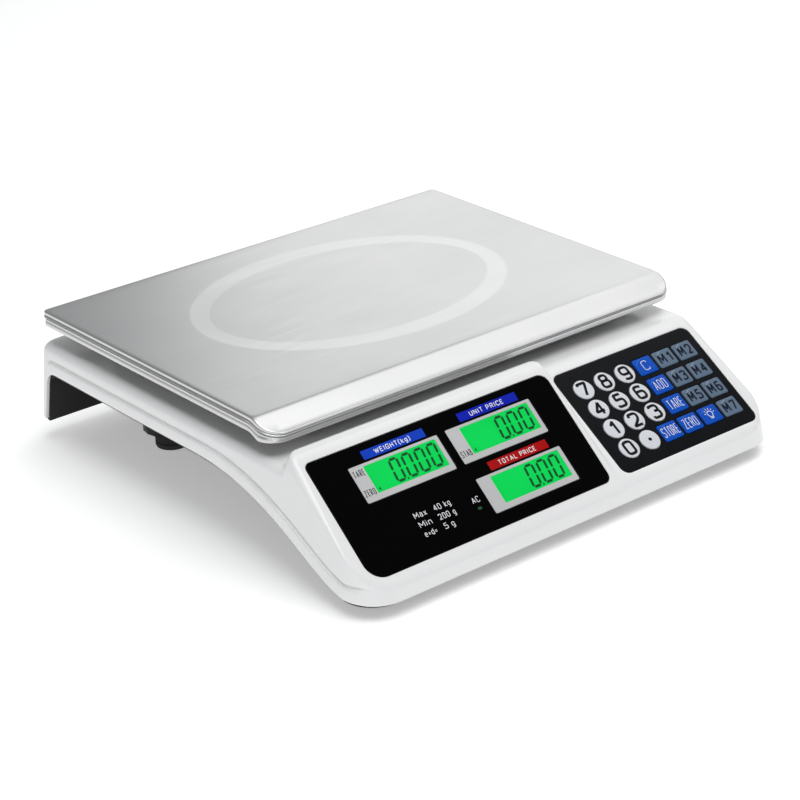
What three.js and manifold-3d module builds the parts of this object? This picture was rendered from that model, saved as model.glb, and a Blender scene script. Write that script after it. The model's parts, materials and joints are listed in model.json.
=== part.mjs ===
// A counter-top price-computing scale: a low housing with a sloping display and keypad in front, a load
// cell inside, and a loose stainless platter on top.  Millimetres.  +X right, +Y back, +Z up.
// The origin is on the table under the middle of the scale.
import * as THREE from 'three';
import { mergeVertices } from 'three/addons/utils/BufferGeometryUtils.js';
import Module from 'manifold-3d';

const wasm = await Module();
wasm.setup();

// ---- driving dimensions -------------------------------------------------------------------------
const GAP = 0.3; // clearance between neighbouring pieces

const CASE = {
  halfWidth: 174.5, // at the table
  halfWidthDeck: 171, // the side walls draw in towards the deck
  front: -179.5,
  back: 179.5,
  backDeck: 171, // the back wall leans forwards
  deck: 73,
  wall: 3,
  frontCorner: 24,
  backCorner: 14,
  frontLip: 10, // lower edge above the table at the front
  arch: 53, // lower edge above the table along the sides
  leg: 18, // lower edge above the table at the back
  legInner: 166.5,
};
// corners: the radii at the low right, high right, high left and low left
const DISPLAY = {
  y: -171.4, z: 24.2, slope: rad(40.5), left: -162.8, right: 29.5, length: 82.3, corners: [5.5, 7, 4.5, 12],
};
const KEYPAD = {
  y: -171.4, z: 24.2, slope: rad(33.1), left: 40.6, right: 162.8, length: 81.8, corners: [6, 6, 6, 6],
};
const STEP_X = 34.5; // the raised display wedge ends here
const BORDER = 8; // white border below the two windows
const RIDGE = { front: -103.7, top: 82, back: -99, foot: -91.5 }; // crest behind the display
const WINDOW = { thickness: 1.5, pocket: 1.8, ledge: 2.5 };

const PLATTER = {
  halfWidth: 170,
  top: 97,
  fold: -70, // where the flat top turns down into the front band
  front: -86.5,
  back: 163.5,
  bandBottom: 89,
  frontFlange: 83,
  sideFlange: 86.5,
  sheet: 1.2,
  frontCorner: 14,
  backCorner: 4,
};
const TRAY = {
  halfWidth: 133, front: -80.5, back: 157.5, bottom: 79, floor: 81, rim: 88, wall: 2, corner: 12,
};
const TUB = { halfWidth: 133, front: -118, back: 150, bottom: 22, wall: 2.5 };
const TUB_FLOOR = TUB.bottom + TUB.wall;
const DOOR_SEAT = 1.5; // how deep the battery door lies in the floor
const PAN_THICKNESS = 1.6;
const PAN_INSET = 2.6;

const CELL = {
  y: 48, halfLength: 65, halfWidth: 15, bottom: 33, top: 55, travel: 1, screwX: 46, screwPitch: 14,
};
const SPIDER = { bottom: 60.5, top: 65, bar: 8, postX: 80, postY: [-12, 108], postRadius: 7, reach: 88 };
const CROSS_BAR = { left: 30, right: 62 };

const FOOT = { radius: 11.3, height: 12.9, studRadius: 3, studHole: 3.45, studTop: 26, bossBottom: 13.5 };
const REAR_FEET = { x: 113, y: 106 };
const FRONT_FEET = { x: 140, y: -140 };

const LCD = { width: 69, height: 24.8, thickness: 3 };
const LCD_PLACES = { lcd_weight: [-137, 45], lcd_unit_price: [-61.3, 45.4], lcd_total_price: [-60.7, 9.4] };
const AC_LED = { x: -69.5, s: 16.5, radius: 1.5 };

const KEY = { x0: 56.7, s0: 15.6, pitchX: 18.3, pitchS: 16.45, radius: 7.3, width: 15.9, height: 12.8 };
const KEY_LIFT = 0.6; // stands this far above the overlay
const KEY_DEPTH = 3; // and reaches this far below it
const KEY_FLANGE = 0.6;
const KEY_CLEARANCE = 0.35;
const KEY_ROWS = [
  ['key_0', 'key_point', 'key_store', 'key_zero', 'key_light', 'key_m7'],
  ['key_1', 'key_2', 'key_3', 'key_tare', 'key_m5', 'key_m6'],
  ['key_4', 'key_5', 'key_6', 'key_add', 'key_m3', 'key_m4'],
  ['key_7', 'key_8', 'key_9', 'key_clear', 'key_m1', 'key_m2'],
];
const ROUND_KEY = /^key_([0-9]|point)$/;
const MEMORY_KEY = /^key_m[0-9]$/;

const BACK_WINDOW = { z: 47, halfWidth: 80, halfHeight: 17, corners: [4, 4, 4, 4] };
const SWITCH = { y: 22, z: 36.5, length: 19, height: 13, tilt: rad(8) };
const INLET = { y: -20, z: 35.5, halfLength: 13, halfHeight: 9.5, depth: 14 };
const BATTERY = { x: [-120, -20], y: [-75, -31], height: 36, doorInsetX: 12, doorInsetY: 4 };
const LEVEL = { x: 152, y: 140, radius: 8 };

// ---- materials ----------------------------------------------------------------------------------
const LOOKS = {
  white_abs: [0xf1f1f0, 0.32, 0],
  black_abs: [0x141414, 0.5, 0],
  steel_sheet: [0xa9a9a9, 0.34, 1],
  tray_plastic: [0x6f7072, 0.5, 0],
  black_panel: [0x060607, 0.2, 0],
  lcd_glass: [0x2bd35a, 0.35, 0],
  key_white: [0xe2e4e8, 0.4, 0],
  key_blue: [0x0b49b5, 0.4, 0],
  key_slate: [0x56697f, 0.4, 0],
  circuit_board: [0x1d5a35, 0.5, 0],
  cell_aluminium: [0xb9bcc0, 0.4, 1],
  cast_aluminium: [0x9b9ea2, 0.6, 1],
  zinc_steel: [0xc2c4c6, 0.3, 1],
  foot_rubber: [0x101010, 0.85, 0],
  battery_case: [0x23262a, 0.6, 0],
  transformer_core: [0x4b4138, 0.6, 0.4],
  level_glass: [0xb8dc3c, 0.15, 0],
  led_lens: [0x1fae4a, 0.3, 0],
};

function material(look) {
  const [color, roughness, metalness] = LOOKS[look];
  return new THREE.MeshStandardMaterial({ color, roughness, metalness });
}

// ---- shapes -------------------------------------------------------------------------------------
function rad(degrees) {
  return (degrees * Math.PI) / 180;
}

function polygon(points) {
  return new THREE.Shape(points.map(([x, y]) => new THREE.Vector2(x, y)));
}

function rectangle(left, low, right, high) {
  return polygon([[left, low], [right, low], [right, high], [left, high]]);
}

// A rectangle with radii at its low right, high right, high left and low left corners, in that order.
function roundedBy(radii, left, low, right, high) {
  const [lowRight, highRight, highLeft, lowLeft] = radii;
  const shape = new THREE.Shape();
  const quarter = Math.PI / 2;
  shape.absarc(right - lowRight, low + lowRight, lowRight, -quarter, 0, false);
  shape.absarc(right - highRight, high - highRight, highRight, 0, quarter, false);
  shape.absarc(left + highLeft, high - highLeft, highLeft, quarter, 2 * quarter, false);
  shape.absarc(left + lowLeft, low + lowLeft, lowLeft, 2 * quarter, 3 * quarter, false);
  shape.closePath();
  return shape;
}

function roundedRectangle(left, low, right, high, lowRadius, highRadius = lowRadius) {
  return roundedBy([lowRadius, highRadius, highRadius, lowRadius], left, low, right, high);
}

function disc(x, y, radius) {
  return new THREE.Shape().absarc(x, y, radius, 0, 2 * Math.PI, false);
}

function extrude(shape, low, high, curveSegments = 4) {
  const options = { depth: high - low, bevelEnabled: false, curveSegments };
  return new THREE.ExtrudeGeometry(shape, options).translate(0, 0, low);
}

// Extrudes an outline drawn in Y and Z along X.
function extrudeAlongX(shape, left, right, curveSegments = 12) {
  const turn = new THREE.Matrix4().makeBasis(
    new THREE.Vector3(0, 1, 0),
    new THREE.Vector3(0, 0, 1),
    new THREE.Vector3(1, 0, 0),
  );
  return extrude(shape, left, right, curveSegments).applyMatrix4(turn);
}

// curveSegments is half the number of sides on a full circle.
function rod(x, y, low, high, radius, curveSegments = 8) {
  return extrude(disc(x, y, radius), low, high, curveSegments);
}

function block([x0, x1], [y0, y1], [z0, z1]) {
  return extrude(rectangle(x0, y0, x1, y1), z0, z1);
}

// A turned body from [radius, height] pairs that start and end on the axis.
function turned(profile, sides = 20) {
  const points = profile.map(([r, h]) => new THREE.Vector2(r, h));
  return new THREE.LatheGeometry(points, sides).rotateX(Math.PI / 2);
}

// ---- joining and cutting ------------------------------------------------------------------------
function solid(geometry) {
  const bare = geometry.clone();
  bare.deleteAttribute('normal');
  bare.deleteAttribute('uv');
  const merged = mergeVertices(bare, 1e-4);
  const triVerts = Uint32Array.from(merged.index.array);
  const vertProperties = Float32Array.from(merged.attributes.position.array);
  return new wasm.Manifold(new wasm.Mesh({ numProp: 3, vertProperties, triVerts }));
}

function join(geometries) {
  return geometries.map(solid).reduce((whole, piece) => whole.add(piece));
}

function cut(body, tools) {
  return tools.reduce((whole, tool) => whole.subtract(solid(tool)), body);
}

function toGeometry(body) {
  const { vertProperties, triVerts } = body.getMesh();
  const geometry = new THREE.BufferGeometry();
  geometry.setAttribute('position', new THREE.BufferAttribute(Float32Array.from(vertProperties), 3));
  geometry.setIndex(new THREE.BufferAttribute(Uint32Array.from(triVerts), 1));
  geometry.computeVertexNormals();
  return geometry;
}

function add(group, name, look, geometry) {
  const mesh = new THREE.Mesh(geometry, material(look));
  mesh.name = name;
  group.add(mesh);
  return mesh;
}

// ---- the housing's outlines ---------------------------------------------------------------------
// A point on the display or keypad plane: s up the slope, n out of it.
function onSlope(plane, s, n = 0) {
  const [c, k] = [Math.cos(plane.slope), Math.sin(plane.slope)];
  return [plane.y + s * c - n * k, plane.z + s * k + n * c];
}

// The lower edge of the white housing, from the front to the foot of the back leg, as [y, z] points.
function lowerEdge() {
  const sweep = new THREE.CubicBezierCurve(
    new THREE.Vector2(-155, CASE.frontLip),
    new THREE.Vector2(-118, CASE.frontLip + 6),
    new THREE.Vector2(-88, CASE.arch - 1),
    new THREE.Vector2(-10, CASE.arch),
  );
  const corner = new THREE.QuadraticBezierCurve(
    new THREE.Vector2(152, CASE.arch),
    new THREE.Vector2(163, CASE.arch),
    new THREE.Vector2(164, CASE.arch - 10),
  );
  const curved = [...sweep.getPoints(10), ...corner.getPoints(4)].map((p) => [p.x, p.y]);
  return [[CASE.front, CASE.frontLip], ...curved, [CASE.legInner, CASE.leg], [CASE.back, CASE.leg]];
}

// The lower edge moved out of the housing by a distance, measured square to it.
function lowerEdgeBelow(distance) {
  const edge = lowerEdge().map(([y, z]) => new THREE.Vector2(y, z));
  return edge.map((point, i) => {
    const before = edge[Math.max(i - 1, 0)];
    const after = edge[Math.min(i + 1, edge.length - 1)];
    const into = point.clone().sub(i ? before : edge[0]);
    const out = after.clone().sub(point);
    const a = (i ? into : out).normalize();
    const b = (i < edge.length - 1 ? out : into).normalize();
    const middle = a.clone().add(b).normalize();
    const stretch = distance / Math.max(middle.dot(a), 0.5);
    return [point.x + middle.y * stretch, point.y - middle.x * stretch];
  });
}

function topEdge(plane) {
  const onDisplay = plane === DISPLAY;
  const crest = onDisplay
    ? [[RIDGE.foot, CASE.deck], [RIDGE.back, RIDGE.top], [RIDGE.front, RIDGE.top]]
    : [onSlope(KEYPAD, (CASE.deck - KEYPAD.z) / Math.sin(KEYPAD.slope))];
  const deckBack = [[CASE.backDeck + 0.4, CASE.deck - 3], [CASE.backDeck - 3, CASE.deck]];
  return [...deckBack, ...crest, onSlope(plane, -BORDER), [CASE.front, CASE.frontLip + 5]];
}

function hollowEdge(plane) {
  const t = CASE.wall;
  const onDisplay = plane === DISPLAY;
  const crest = onDisplay
    ? [[RIDGE.foot + 1, CASE.deck - t], [RIDGE.back - 1.5, RIDGE.top - t], [RIDGE.front + 1, RIDGE.top - t]]
    : [onSlope(KEYPAD, (CASE.deck - KEYPAD.z) / Math.sin(KEYPAD.slope) - 1, -t)];
  return [
    [CASE.back - t, -20],
    [CASE.back - t, CASE.leg],
    [CASE.backDeck - t, CASE.deck - t],
    ...crest,
    onSlope(plane, -BORDER / 2, -t),
    [CASE.front + t, CASE.frontLip + 5],
    [CASE.front + t, -20],
  ];
}

// The plan outline as a block whose sides draw in from the table to the deck.
const PLAN_BLOCK = { low: -30, high: 90 };

function planBlock(inset) {
  const outline = roundedRectangle(
    -CASE.halfWidth + inset,
    CASE.front + inset,
    CASE.halfWidth - inset,
    CASE.back - inset,
    CASE.frontCorner - inset,
    CASE.backCorner - inset,
  );
  const geometry = extrude(outline, PLAN_BLOCK.low, PLAN_BLOCK.high, 5);
  const drawIn = (CASE.halfWidth - CASE.halfWidthDeck) / CASE.deck;
  const position = geometry.attributes.position;
  for (let i = 0; i < position.count; i += 1) {
    const halfWidth = CASE.halfWidth - drawIn * position.getZ(i) - inset;
    position.setX(i, (position.getX(i) * halfWidth) / (CASE.halfWidth - inset));
  }
  return geometry;
}

// ---- housing ------------------------------------------------------------------------------------
// The pocket and the smaller hole behind it that hold one window, as cutting tools in the window's own plane.
function windowTools(left, low, right, high, corners) {
  const { pocket, ledge } = WINDOW;
  const reach = 12; // well past the skin, in and out
  return [
    extrude(roundedBy(corners, left, low, right, high), -pocket, reach),
    extrude(roundedBy(corners, left + ledge, low + ledge, right - ledge, high - ledge), -reach, 1),
  ];
}

function slopeMatrix(plane) {
  return new THREE.Matrix4().makeRotationX(plane.slope).setPosition(0, plane.y, plane.z);
}

const backLean = Math.atan2(CASE.back - CASE.backDeck, CASE.deck - CASE.leg);
const backAtWindow = CASE.back - (BACK_WINDOW.z - CASE.leg) * Math.tan(backLean);
const backTurn = new THREE.Euler(Math.PI / 2 - backLean, 0, Math.PI, 'ZYX');
const backMatrix = new THREE.Matrix4()
  .makeRotationFromEuler(backTurn)
  .setPosition(0, backAtWindow, BACK_WINDOW.z);

function topHousing() {
  const outer = join([
    extrudeAlongX(polygon([...lowerEdge(), ...topEdge(DISPLAY)]), -CASE.halfWidth, STEP_X),
    extrudeAlongX(polygon([...lowerEdge(), ...topEdge(KEYPAD)]), STEP_X, CASE.halfWidth),
  ]).intersect(solid(planBlock(0)));
  const inner = join([
    extrudeAlongX(polygon(hollowEdge(DISPLAY)), -CASE.halfWidth, STEP_X - CASE.wall),
    extrudeAlongX(polygon(hollowEdge(KEYPAD)), STEP_X - CASE.wall, CASE.halfWidth),
  ]).intersect(solid(planBlock(CASE.wall)));
  const back = BACK_WINDOW;
  const openings = [
    ...windowTools(DISPLAY.left, 0, DISPLAY.right, DISPLAY.length, DISPLAY.corners)
      .map((tool) => tool.applyMatrix4(slopeMatrix(DISPLAY))),
    ...windowTools(KEYPAD.left, 0, KEYPAD.right, KEYPAD.length, KEYPAD.corners)
      .map((tool) => tool.applyMatrix4(slopeMatrix(KEYPAD))),
    ...windowTools(-back.halfWidth, -back.halfHeight, back.halfWidth, back.halfHeight, back.corners)
      .map((tool) => tool.applyMatrix4(backMatrix)),
    rod(LEVEL.x, LEVEL.y, CASE.deck - 8, CASE.deck + 1, LEVEL.radius + GAP),
  ];
  for (const x of [-SPIDER.postX, SPIDER.postX]) {
    for (const y of SPIDER.postY) {
      openings.push(rod(x, y, CASE.deck - 8, CASE.deck + 1, SPIDER.postRadius + 2));
    }
  }
  return toGeometry(cut(outer.subtract(inner), openings));
}

function bottomHousing() {
  const upper = lowerEdgeBelow(GAP);
  const lower = lowerEdgeBelow(GAP + PAN_THICKNESS).reverse();
  const pan = solid(extrudeAlongX(polygon([...upper, ...lower]), -CASE.halfWidth, CASE.halfWidth));
  const raised = upper.filter(([y, z]) => z > TUB.bottom + 0.5 && y < TUB.back + 5);
  const underEdge = [[raised[0][0] - 1, TUB.bottom], ...raised, [TUB.back + 2, TUB.bottom]];
  const tubOutline = extrude(
    roundedRectangle(-TUB.halfWidth, TUB.front, TUB.halfWidth, TUB.back, 10),
    TUB.bottom,
    CASE.arch,
  );
  const w = TUB.wall;
  const tubHollow = extrude(
    roundedRectangle(-TUB.halfWidth + w, TUB.front + w, TUB.halfWidth - w, TUB.back - w, 10 - w),
    TUB_FLOOR,
    CASE.arch + 5,
  );
  const tub = solid(tubOutline)
    .intersect(solid(extrudeAlongX(polygon(underEdge), -CASE.halfWidth, CASE.halfWidth)));
  let body = pan.intersect(solid(planBlock(PAN_INSET))).add(tub);
  const feetHoles = [];
  const [rearBoss, frontBoss] = [19, FOOT.radius + 4];
  for (const side of [-1, 1]) {
    const [rx, fx] = [side * REAR_FEET.x, side * FRONT_FEET.x];
    body = body.add(solid(rod(rx, REAR_FEET.y, FOOT.bossBottom, TUB_FLOOR, rearBoss)));
    body = body.add(solid(rod(fx, FRONT_FEET.y, 8, 21, frontBoss)));
    feetHoles.push(rod(rx, REAR_FEET.y, 0, 40, FOOT.studHole));
    feetHoles.push(rod(fx, FRONT_FEET.y, 0, 40, FOOT.studHole));
    feetHoles.push(rod(fx, FRONT_FEET.y, 0, FOOT.bossBottom, FOOT.radius + 1));
  }
  const [doorLow, doorHigh] = batteryDoorCorners(0);
  return toGeometry(cut(body, [
    tubHollow,
    ...feetHoles,
    extrude(rectangle(...doorLow, ...doorHigh), 20, TUB.bottom + DOOR_SEAT),
    extrude(rectangle(doorLow[0] + 3, doorLow[1] + 3, doorHigh[0] - 3, doorHigh[1] - 3), 20, 30),
    block([120, 140], [SWITCH.y - SWITCH.length / 2, SWITCH.y + SWITCH.length / 2],
      [SWITCH.z - SWITCH.height / 2, SWITCH.z + SWITCH.height / 2]),
    block([120, 140], [INLET.y - INLET.halfLength, INLET.y + INLET.halfLength],
      [INLET.z - INLET.halfHeight, INLET.z + INLET.halfHeight]),
  ]));
}

function batteryDoorCorners(gap) {
  const { x, y, doorInsetX, doorInsetY } = BATTERY;
  return [
    [x[0] + doorInsetX + gap, y[0] + doorInsetY + gap],
    [x[1] - doorInsetX - gap, y[1] - doorInsetY - gap],
  ];
}

function batteryDoor() {
  const [low, high] = batteryDoorCorners(GAP);
  const top = TUB.bottom + DOOR_SEAT - GAP;
  const plate = solid(extrude(roundedRectangle(...low, ...high, 1), TUB.bottom, top));
  const gripDepth = [TUB.bottom - 1, TUB.bottom + 0.6];
  const grip = block([low[0] + 25, high[0] - 25], [high[1] - 6, high[1] - 2], gripDepth);
  return toGeometry(cut(plate, [grip]));
}

// ---- platter and what carries it ----------------------------------------------------------------
function platter() {
  const p = PLATTER;
  const t = p.sheet;
  const outer = [
    [p.back, p.top],
    [p.fold, p.top],
    [p.front + 1.6, p.bandBottom + 0.8],
    [p.front, p.bandBottom - 1],
    [p.front, p.frontFlange],
    [p.back, p.frontFlange],
  ];
  const inner = [
    [p.back - t, p.top - t],
    [p.fold - 0.3, p.top - t],
    [p.front + 1.6 + t / 2, p.bandBottom + 0.5 - t],
    [p.front + t, p.bandBottom - 1.4],
    [p.front + t, 70],
    [p.back - t, 70],
  ];
  const plan = (inset) => solid(extrude(
    roundedRectangle(-p.halfWidth + inset, p.front + inset, p.halfWidth - inset, p.back - inset,
      p.frontCorner - inset, p.backCorner - inset),
    60,
    120,
    5,
  ));
  const skin = solid(extrudeAlongX(polygon(outer), -p.halfWidth, p.halfWidth)).intersect(plan(0));
  const hollow = solid(extrudeAlongX(polygon(inner), -p.halfWidth, p.halfWidth)).intersect(plan(t));
  const sideCut = block([-200, 200], [p.fold, 200], [70, p.sideFlange]);
  return toGeometry(cut(skin.subtract(hollow), [sideCut]));
}

function platterTray() {
  const t = TRAY;
  const outline = (inset) => roundedRectangle(
    -t.halfWidth + inset, t.front + inset, t.halfWidth - inset, t.back - inset, t.corner - inset);
  const hollow = solid(extrude(outline(t.wall), t.floor, 120));
  const dish = solid(extrude(outline(0), t.bottom, t.rim)).subtract(hollow);
  const padTop = PLATTER.top - PLATTER.sheet - GAP;
  const pads = [];
  for (const x of [-110, 110]) {
    for (const y of [-45, 122]) pads.push(rod(x, y, t.floor - 1, padTop, 9, 8));
  }
  return toGeometry(dish.add(join(pads)));
}

function supportSpider() {
  const s = SPIDER;
  const bars = s.postY.map((y) => block([-s.reach, s.reach], [y - s.bar, y + s.bar], [s.bottom, s.top]));
  const cross = block([CROSS_BAR.left, CROSS_BAR.right], [s.postY[0], s.postY[1]], [s.bottom, s.top]);
  const seatHeight = [CELL.top + 1.5, s.bottom + 1];
  const seat = block([CROSS_BAR.left, CROSS_BAR.right], [CELL.y - 14, CELL.y + 14], seatHeight);
  const posts = [-s.postX, s.postX]
    .flatMap((x) => s.postY.map((y) => rod(x, y, s.bottom, TRAY.bottom - GAP, s.postRadius, 8)));
  const holes = clampHoles(CELL.screwX, 3.2, 50, 70);
  return toGeometry(cut(join([...bars, cross, seat, ...posts]), holes));
}

function clampHoles(x, radius, low, high) {
  return [-0.5, 0.5].map((end) => rod(x, CELL.y + end * CELL.screwPitch, low, high, radius, 8));
}

// Two socket screws through one spreader plate.
function screwPair(x, seat, shankBottom, headHeight) {
  const plate = block([x - 9, x + 9], [CELL.y - 12, CELL.y + 12], [seat + GAP, seat + 2]);
  const shanks = clampHoles(x, 2.6, shankBottom, seat + 1);
  const heads = clampHoles(x, 4.6, seat + 1, seat + 2 + headHeight);
  const sockets = [-0.5, 0.5].map((end) => (
    extrude(disc(x, CELL.y + end * CELL.screwPitch, 2.4), seat + headHeight, seat + 10, 3)));
  return toGeometry(cut(join([plate, ...shanks, ...heads]), sockets));
}

function loadCell() {
  const c = CELL;
  const middle = (c.bottom + c.top) / 2;
  const bar = block([-c.halfLength, c.halfLength], [c.y - c.halfWidth, c.y + c.halfWidth], [c.bottom, c.top]);
  // The two overlapping cross bores that make the thin flexing webs.
  const bores = [-11, 11].map((x) => {
    const bore = extrude(disc(x, middle, 8.5), -20, 20, 7).rotateX(Math.PI / 2);
    return bore.translate(0, c.y, 0);
  });
  const slot = block([-11, 11], [c.y - 20, c.y + 20], [middle - 4, middle + 4]);
  const screws = [...clampHoles(-CELL.screwX, 3.3, 30, 60), ...clampHoles(CELL.screwX, 3.6, 30, 60)];
  return toGeometry(cut(solid(bar), [...bores, slot, ...screws]));
}

function loadCellBase() {
  const plate = block([-72, -22], [CELL.y - 22, CELL.y + 22], [TUB_FLOOR + GAP, TUB_FLOOR + 3.5]);
  const pad = block([-66, -28], [CELL.y - 15, CELL.y + 15], [TUB_FLOOR + 3, CELL.bottom - GAP]);
  return toGeometry(cut(join([plate, pad]), clampHoles(-CELL.screwX, 3.3, 26.5, 40)));
}

function overloadStop() {
  const top = SPIDER.bottom - CELL.travel - 0.2;
  return turned([[0, 0], [6, 0], [6, 6], [3, 6], [3, top - TUB_FLOOR - GAP], [0, top - TUB_FLOOR - GAP]], 8);
}

// ---- display ------------------------------------------------------------------------------------
// The pane that lies in a window's pocket.
function windowPane({ left, right, corners }, low, high) {
  const radii = corners.map((radius) => radius - GAP);
  return extrude(roundedBy(radii, left + GAP, low + GAP, right - GAP, high - GAP), -WINDOW.thickness, 0);
}

function addDisplay(scale) {
  const group = new THREE.Group();
  group.position.set(0, DISPLAY.y, DISPLAY.z);
  group.rotation.x = DISPLAY.slope;
  scale.add(group);
  const { thickness } = WINDOW;
  add(group, 'display_window', 'black_panel', windowPane(DISPLAY, 0, DISPLAY.length));
  const behind = -thickness - 0.6;
  for (const [name, [left, low]] of Object.entries(LCD_PLACES)) {
    add(group, name, 'lcd_glass', extrude(
      rectangle(left, low, left + LCD.width, low + LCD.height), behind - LCD.thickness, behind));
  }
  const ledTop = -thickness - GAP;
  add(group, 'ac_led', 'led_lens', rod(AC_LED.x, AC_LED.s, behind - LCD.thickness, ledTop, AC_LED.radius, 5));
  const boardTop = behind - LCD.thickness - GAP;
  const chips = [[-120, 15], [-20, 30]].map(([x, s]) => (
    block([x, x + 16], [s, s + 12], [boardTop - 4, boardTop - 1])));
  const edge = 6;
  const board = block(
    [DISPLAY.left + edge, DISPLAY.right - edge],
    [edge, DISPLAY.length - edge],
    [boardTop - 1.6, boardTop],
  );
  add(group, 'display_board', 'circuit_board', toGeometry(join([board, ...chips])));
}

// ---- keypad -------------------------------------------------------------------------------------
function keyCentre(column, row) {
  return [KEY.x0 + column * KEY.pitchX, KEY.s0 + row * KEY.pitchS];
}

function keyOutline(name, grow) {
  if (ROUND_KEY.test(name)) return disc(0, 0, KEY.radius + grow);
  const [halfWidth, halfHeight] = [KEY.width / 2 + grow, KEY.height / 2 + grow];
  return roundedRectangle(-halfWidth, -halfHeight, halfWidth, halfHeight, 1.2);
}

function keyLook(name) {
  if (ROUND_KEY.test(name)) return 'key_white';
  return MEMORY_KEY.test(name) ? 'key_slate' : 'key_blue';
}

function keyBody(name) {
  const segments = ROUND_KEY.test(name) ? 8 : 1;
  const flangeTop = -WINDOW.thickness - GAP;
  return toGeometry(join([
    extrude(keyOutline(name, 0), -KEY_DEPTH + 0.1, KEY_LIFT, segments),
    extrude(keyOutline(name, KEY_FLANGE), -KEY_DEPTH, flangeTop, segments),
  ]));
}

function addKeypad(scale) {
  const group = new THREE.Group();
  group.position.set(0, KEYPAD.y, KEYPAD.z);
  group.rotation.x = KEYPAD.slope;
  scale.add(group);
  const holes = [];
  KEY_ROWS.forEach((names, row) => names.forEach((name, column) => {
    const [x, s] = keyCentre(column, row);
    const segments = ROUND_KEY.test(name) ? 8 : 1;
    holes.push(extrude(keyOutline(name, KEY_CLEARANCE), -5, 5, segments).translate(x, s, 0));
    add(group, name, keyLook(name), keyBody(name)).position.set(x, s, 0);
  }));
  const sheet = windowPane(KEYPAD, 0, KEYPAD.length);
  add(group, 'keypad_overlay', 'black_panel', toGeometry(cut(solid(sheet), holes)));
  const boardTop = -KEY_DEPTH - 1;
  add(group, 'keypad_board', 'circuit_board', block(
    [KEYPAD.left + 4, KEYPAD.right - 4], [4, KEYPAD.length - 4], [boardTop - 1.6, boardTop]));
}

// ---- customer's display in the back wall --------------------------------------------------------
function addBackDisplay(scale) {
  const group = new THREE.Group();
  group.position.set(0, backAtWindow, BACK_WINDOW.z);
  group.rotation.copy(backTurn);
  scale.add(group);
  const { halfWidth, halfHeight, corners } = BACK_WINDOW;
  const opening = { left: -halfWidth, right: halfWidth, corners };
  add(group, 'rear_window', 'black_panel', windowPane(opening, -halfHeight, halfHeight));
  const behind = -WINDOW.thickness - 0.6;
  const screens = [-50, 0, 50].map((x) => block([x - 23, x + 23], [-10, 10], [behind - 2.8, behind]));
  const board = block([-75, 75], [-12, 12], [behind - 4.2, behind - 2.6]);
  add(group, 'rear_display', 'lcd_glass', toGeometry(join([board, ...screens])));
}

// ---- electrics in the tub -----------------------------------------------------------------------
function mainBoard() {
  const low = TUB_FLOOR + GAP;
  const board = block([10, 108], [-96, -32], [low + 5, low + 6.6]);
  const standoffs = [[14, -92], [104, -92], [14, -36], [104, -36]]
    .map(([x, y]) => rod(x, y, low, low + 5.5, 2.5, 4));
  const parts = [
    block([30, 50], [-80, -60], [low + 6, low + 9]),
    block([62, 74], [-84, -66], [low + 6, low + 14]),
    block([84, 100], [-60, -44], [low + 6, low + 16]),
    block([20, 44], [-46, -38], [low + 6, low + 12]),
    rod(60, -46, low + 6, low + 18, 5, 5),
  ];
  return toGeometry(join([board, ...standoffs, ...parts]));
}

function battery() {
  const low = TUB_FLOOR + GAP;
  const { x, y, height } = BATTERY;
  const box = block(x, y, [low, low + height - 3]);
  const lid = block([x[0] + 2, x[1] - 2], [y[0] + 2, y[1] - 2], [low + height - 4, low + height]);
  const tabHeight = [low + height - 1, low + height + 4];
  const tabs = [x[0] + 12, x[0] + 30].map((at) => block([at, at + 5], [y[0] + 8, y[0] + 9], tabHeight));
  return toGeometry(join([box, lid, ...tabs]));
}

function transformer() {
  const low = TUB_FLOOR + GAP;
  const foot = block([72, 114], [14, 70], [low, low + 2]);
  const core = block([74, 112], [24, 60], [low + 1, low + 34]);
  const winding = block([80, 106], [18, 66], [low + 8, low + 27]);
  return toGeometry(join([foot, core, winding]));
}

function switchBezel() {
  const [l, h] = [SWITCH.length / 2, SWITCH.height / 2];
  const [x0, x1] = [TUB.halfWidth - 10, TUB.halfWidth + GAP];
  const y = SWITCH.y;
  const z = SWITCH.z;
  const sleeve = block([x0, x1 + 1], [y - l + GAP, y + l - GAP], [z - h + GAP, z + h - GAP]);
  const rim = block([x1, x1 + 1.7], [y - l - 1.5, y + l + 1.5], [z - h - 1.5, z + h + 1.5]);
  const mouth = block([x0 + 2, x1 + 5], [y - l + 1.6, y + l - 1.6], [z - h + 1.6, z + h - 1.6]);
  return toGeometry(cut(join([sleeve, rim]), [mouth]));
}

// The rocker lies at "on": its far end is pressed in.
function powerRocker() {
  const half = SWITCH.length / 2 - 3;
  const face = polygon([[-3, half - 1], [-3, -half + 1], [2.2, -half], [1.2, 0], [2.2, half]]);
  const height = SWITCH.height / 2 - 2;
  return extrude(face, -height, height).rotateZ(-SWITCH.tilt);
}

function acInlet() {
  const { y, z, halfLength, halfHeight, depth } = INLET;
  const [l, h] = [halfLength - GAP, halfHeight - GAP];
  const [x0, x1] = [TUB.halfWidth - depth, TUB.halfWidth + GAP];
  const bodyBlock = block([x0, x1 + 1], [y - l, y + l], [z - h, z + h]);
  const rim = block([x1, x1 + 1.7], [y - l - 2, y + l + 2], [z - h - 2, z + h + 2]);
  const socket = block([x0 + 2, x1 + 5], [y - l + 3, y + l - 3], [z - h + 3, z + h - 3]);
  const pins = [-4, 4].map((at) => block([x0 + 1, x1 - 2], [y + at - 1.2, y + at + 1.2], [z - 1.2, z + 1.2]));
  return toGeometry(cut(join([bodyBlock, rim]), [socket]).add(join(pins)));
}

function foot() {
  const { radius, height, studRadius, studTop } = FOOT;
  return turned([[0, 0], [radius - 0.8, 0], [radius, 0.8], [radius, height - 0.8], [radius - 0.8, height],
    [studRadius, height], [studRadius, studTop], [0, studTop]], 16);
}

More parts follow.
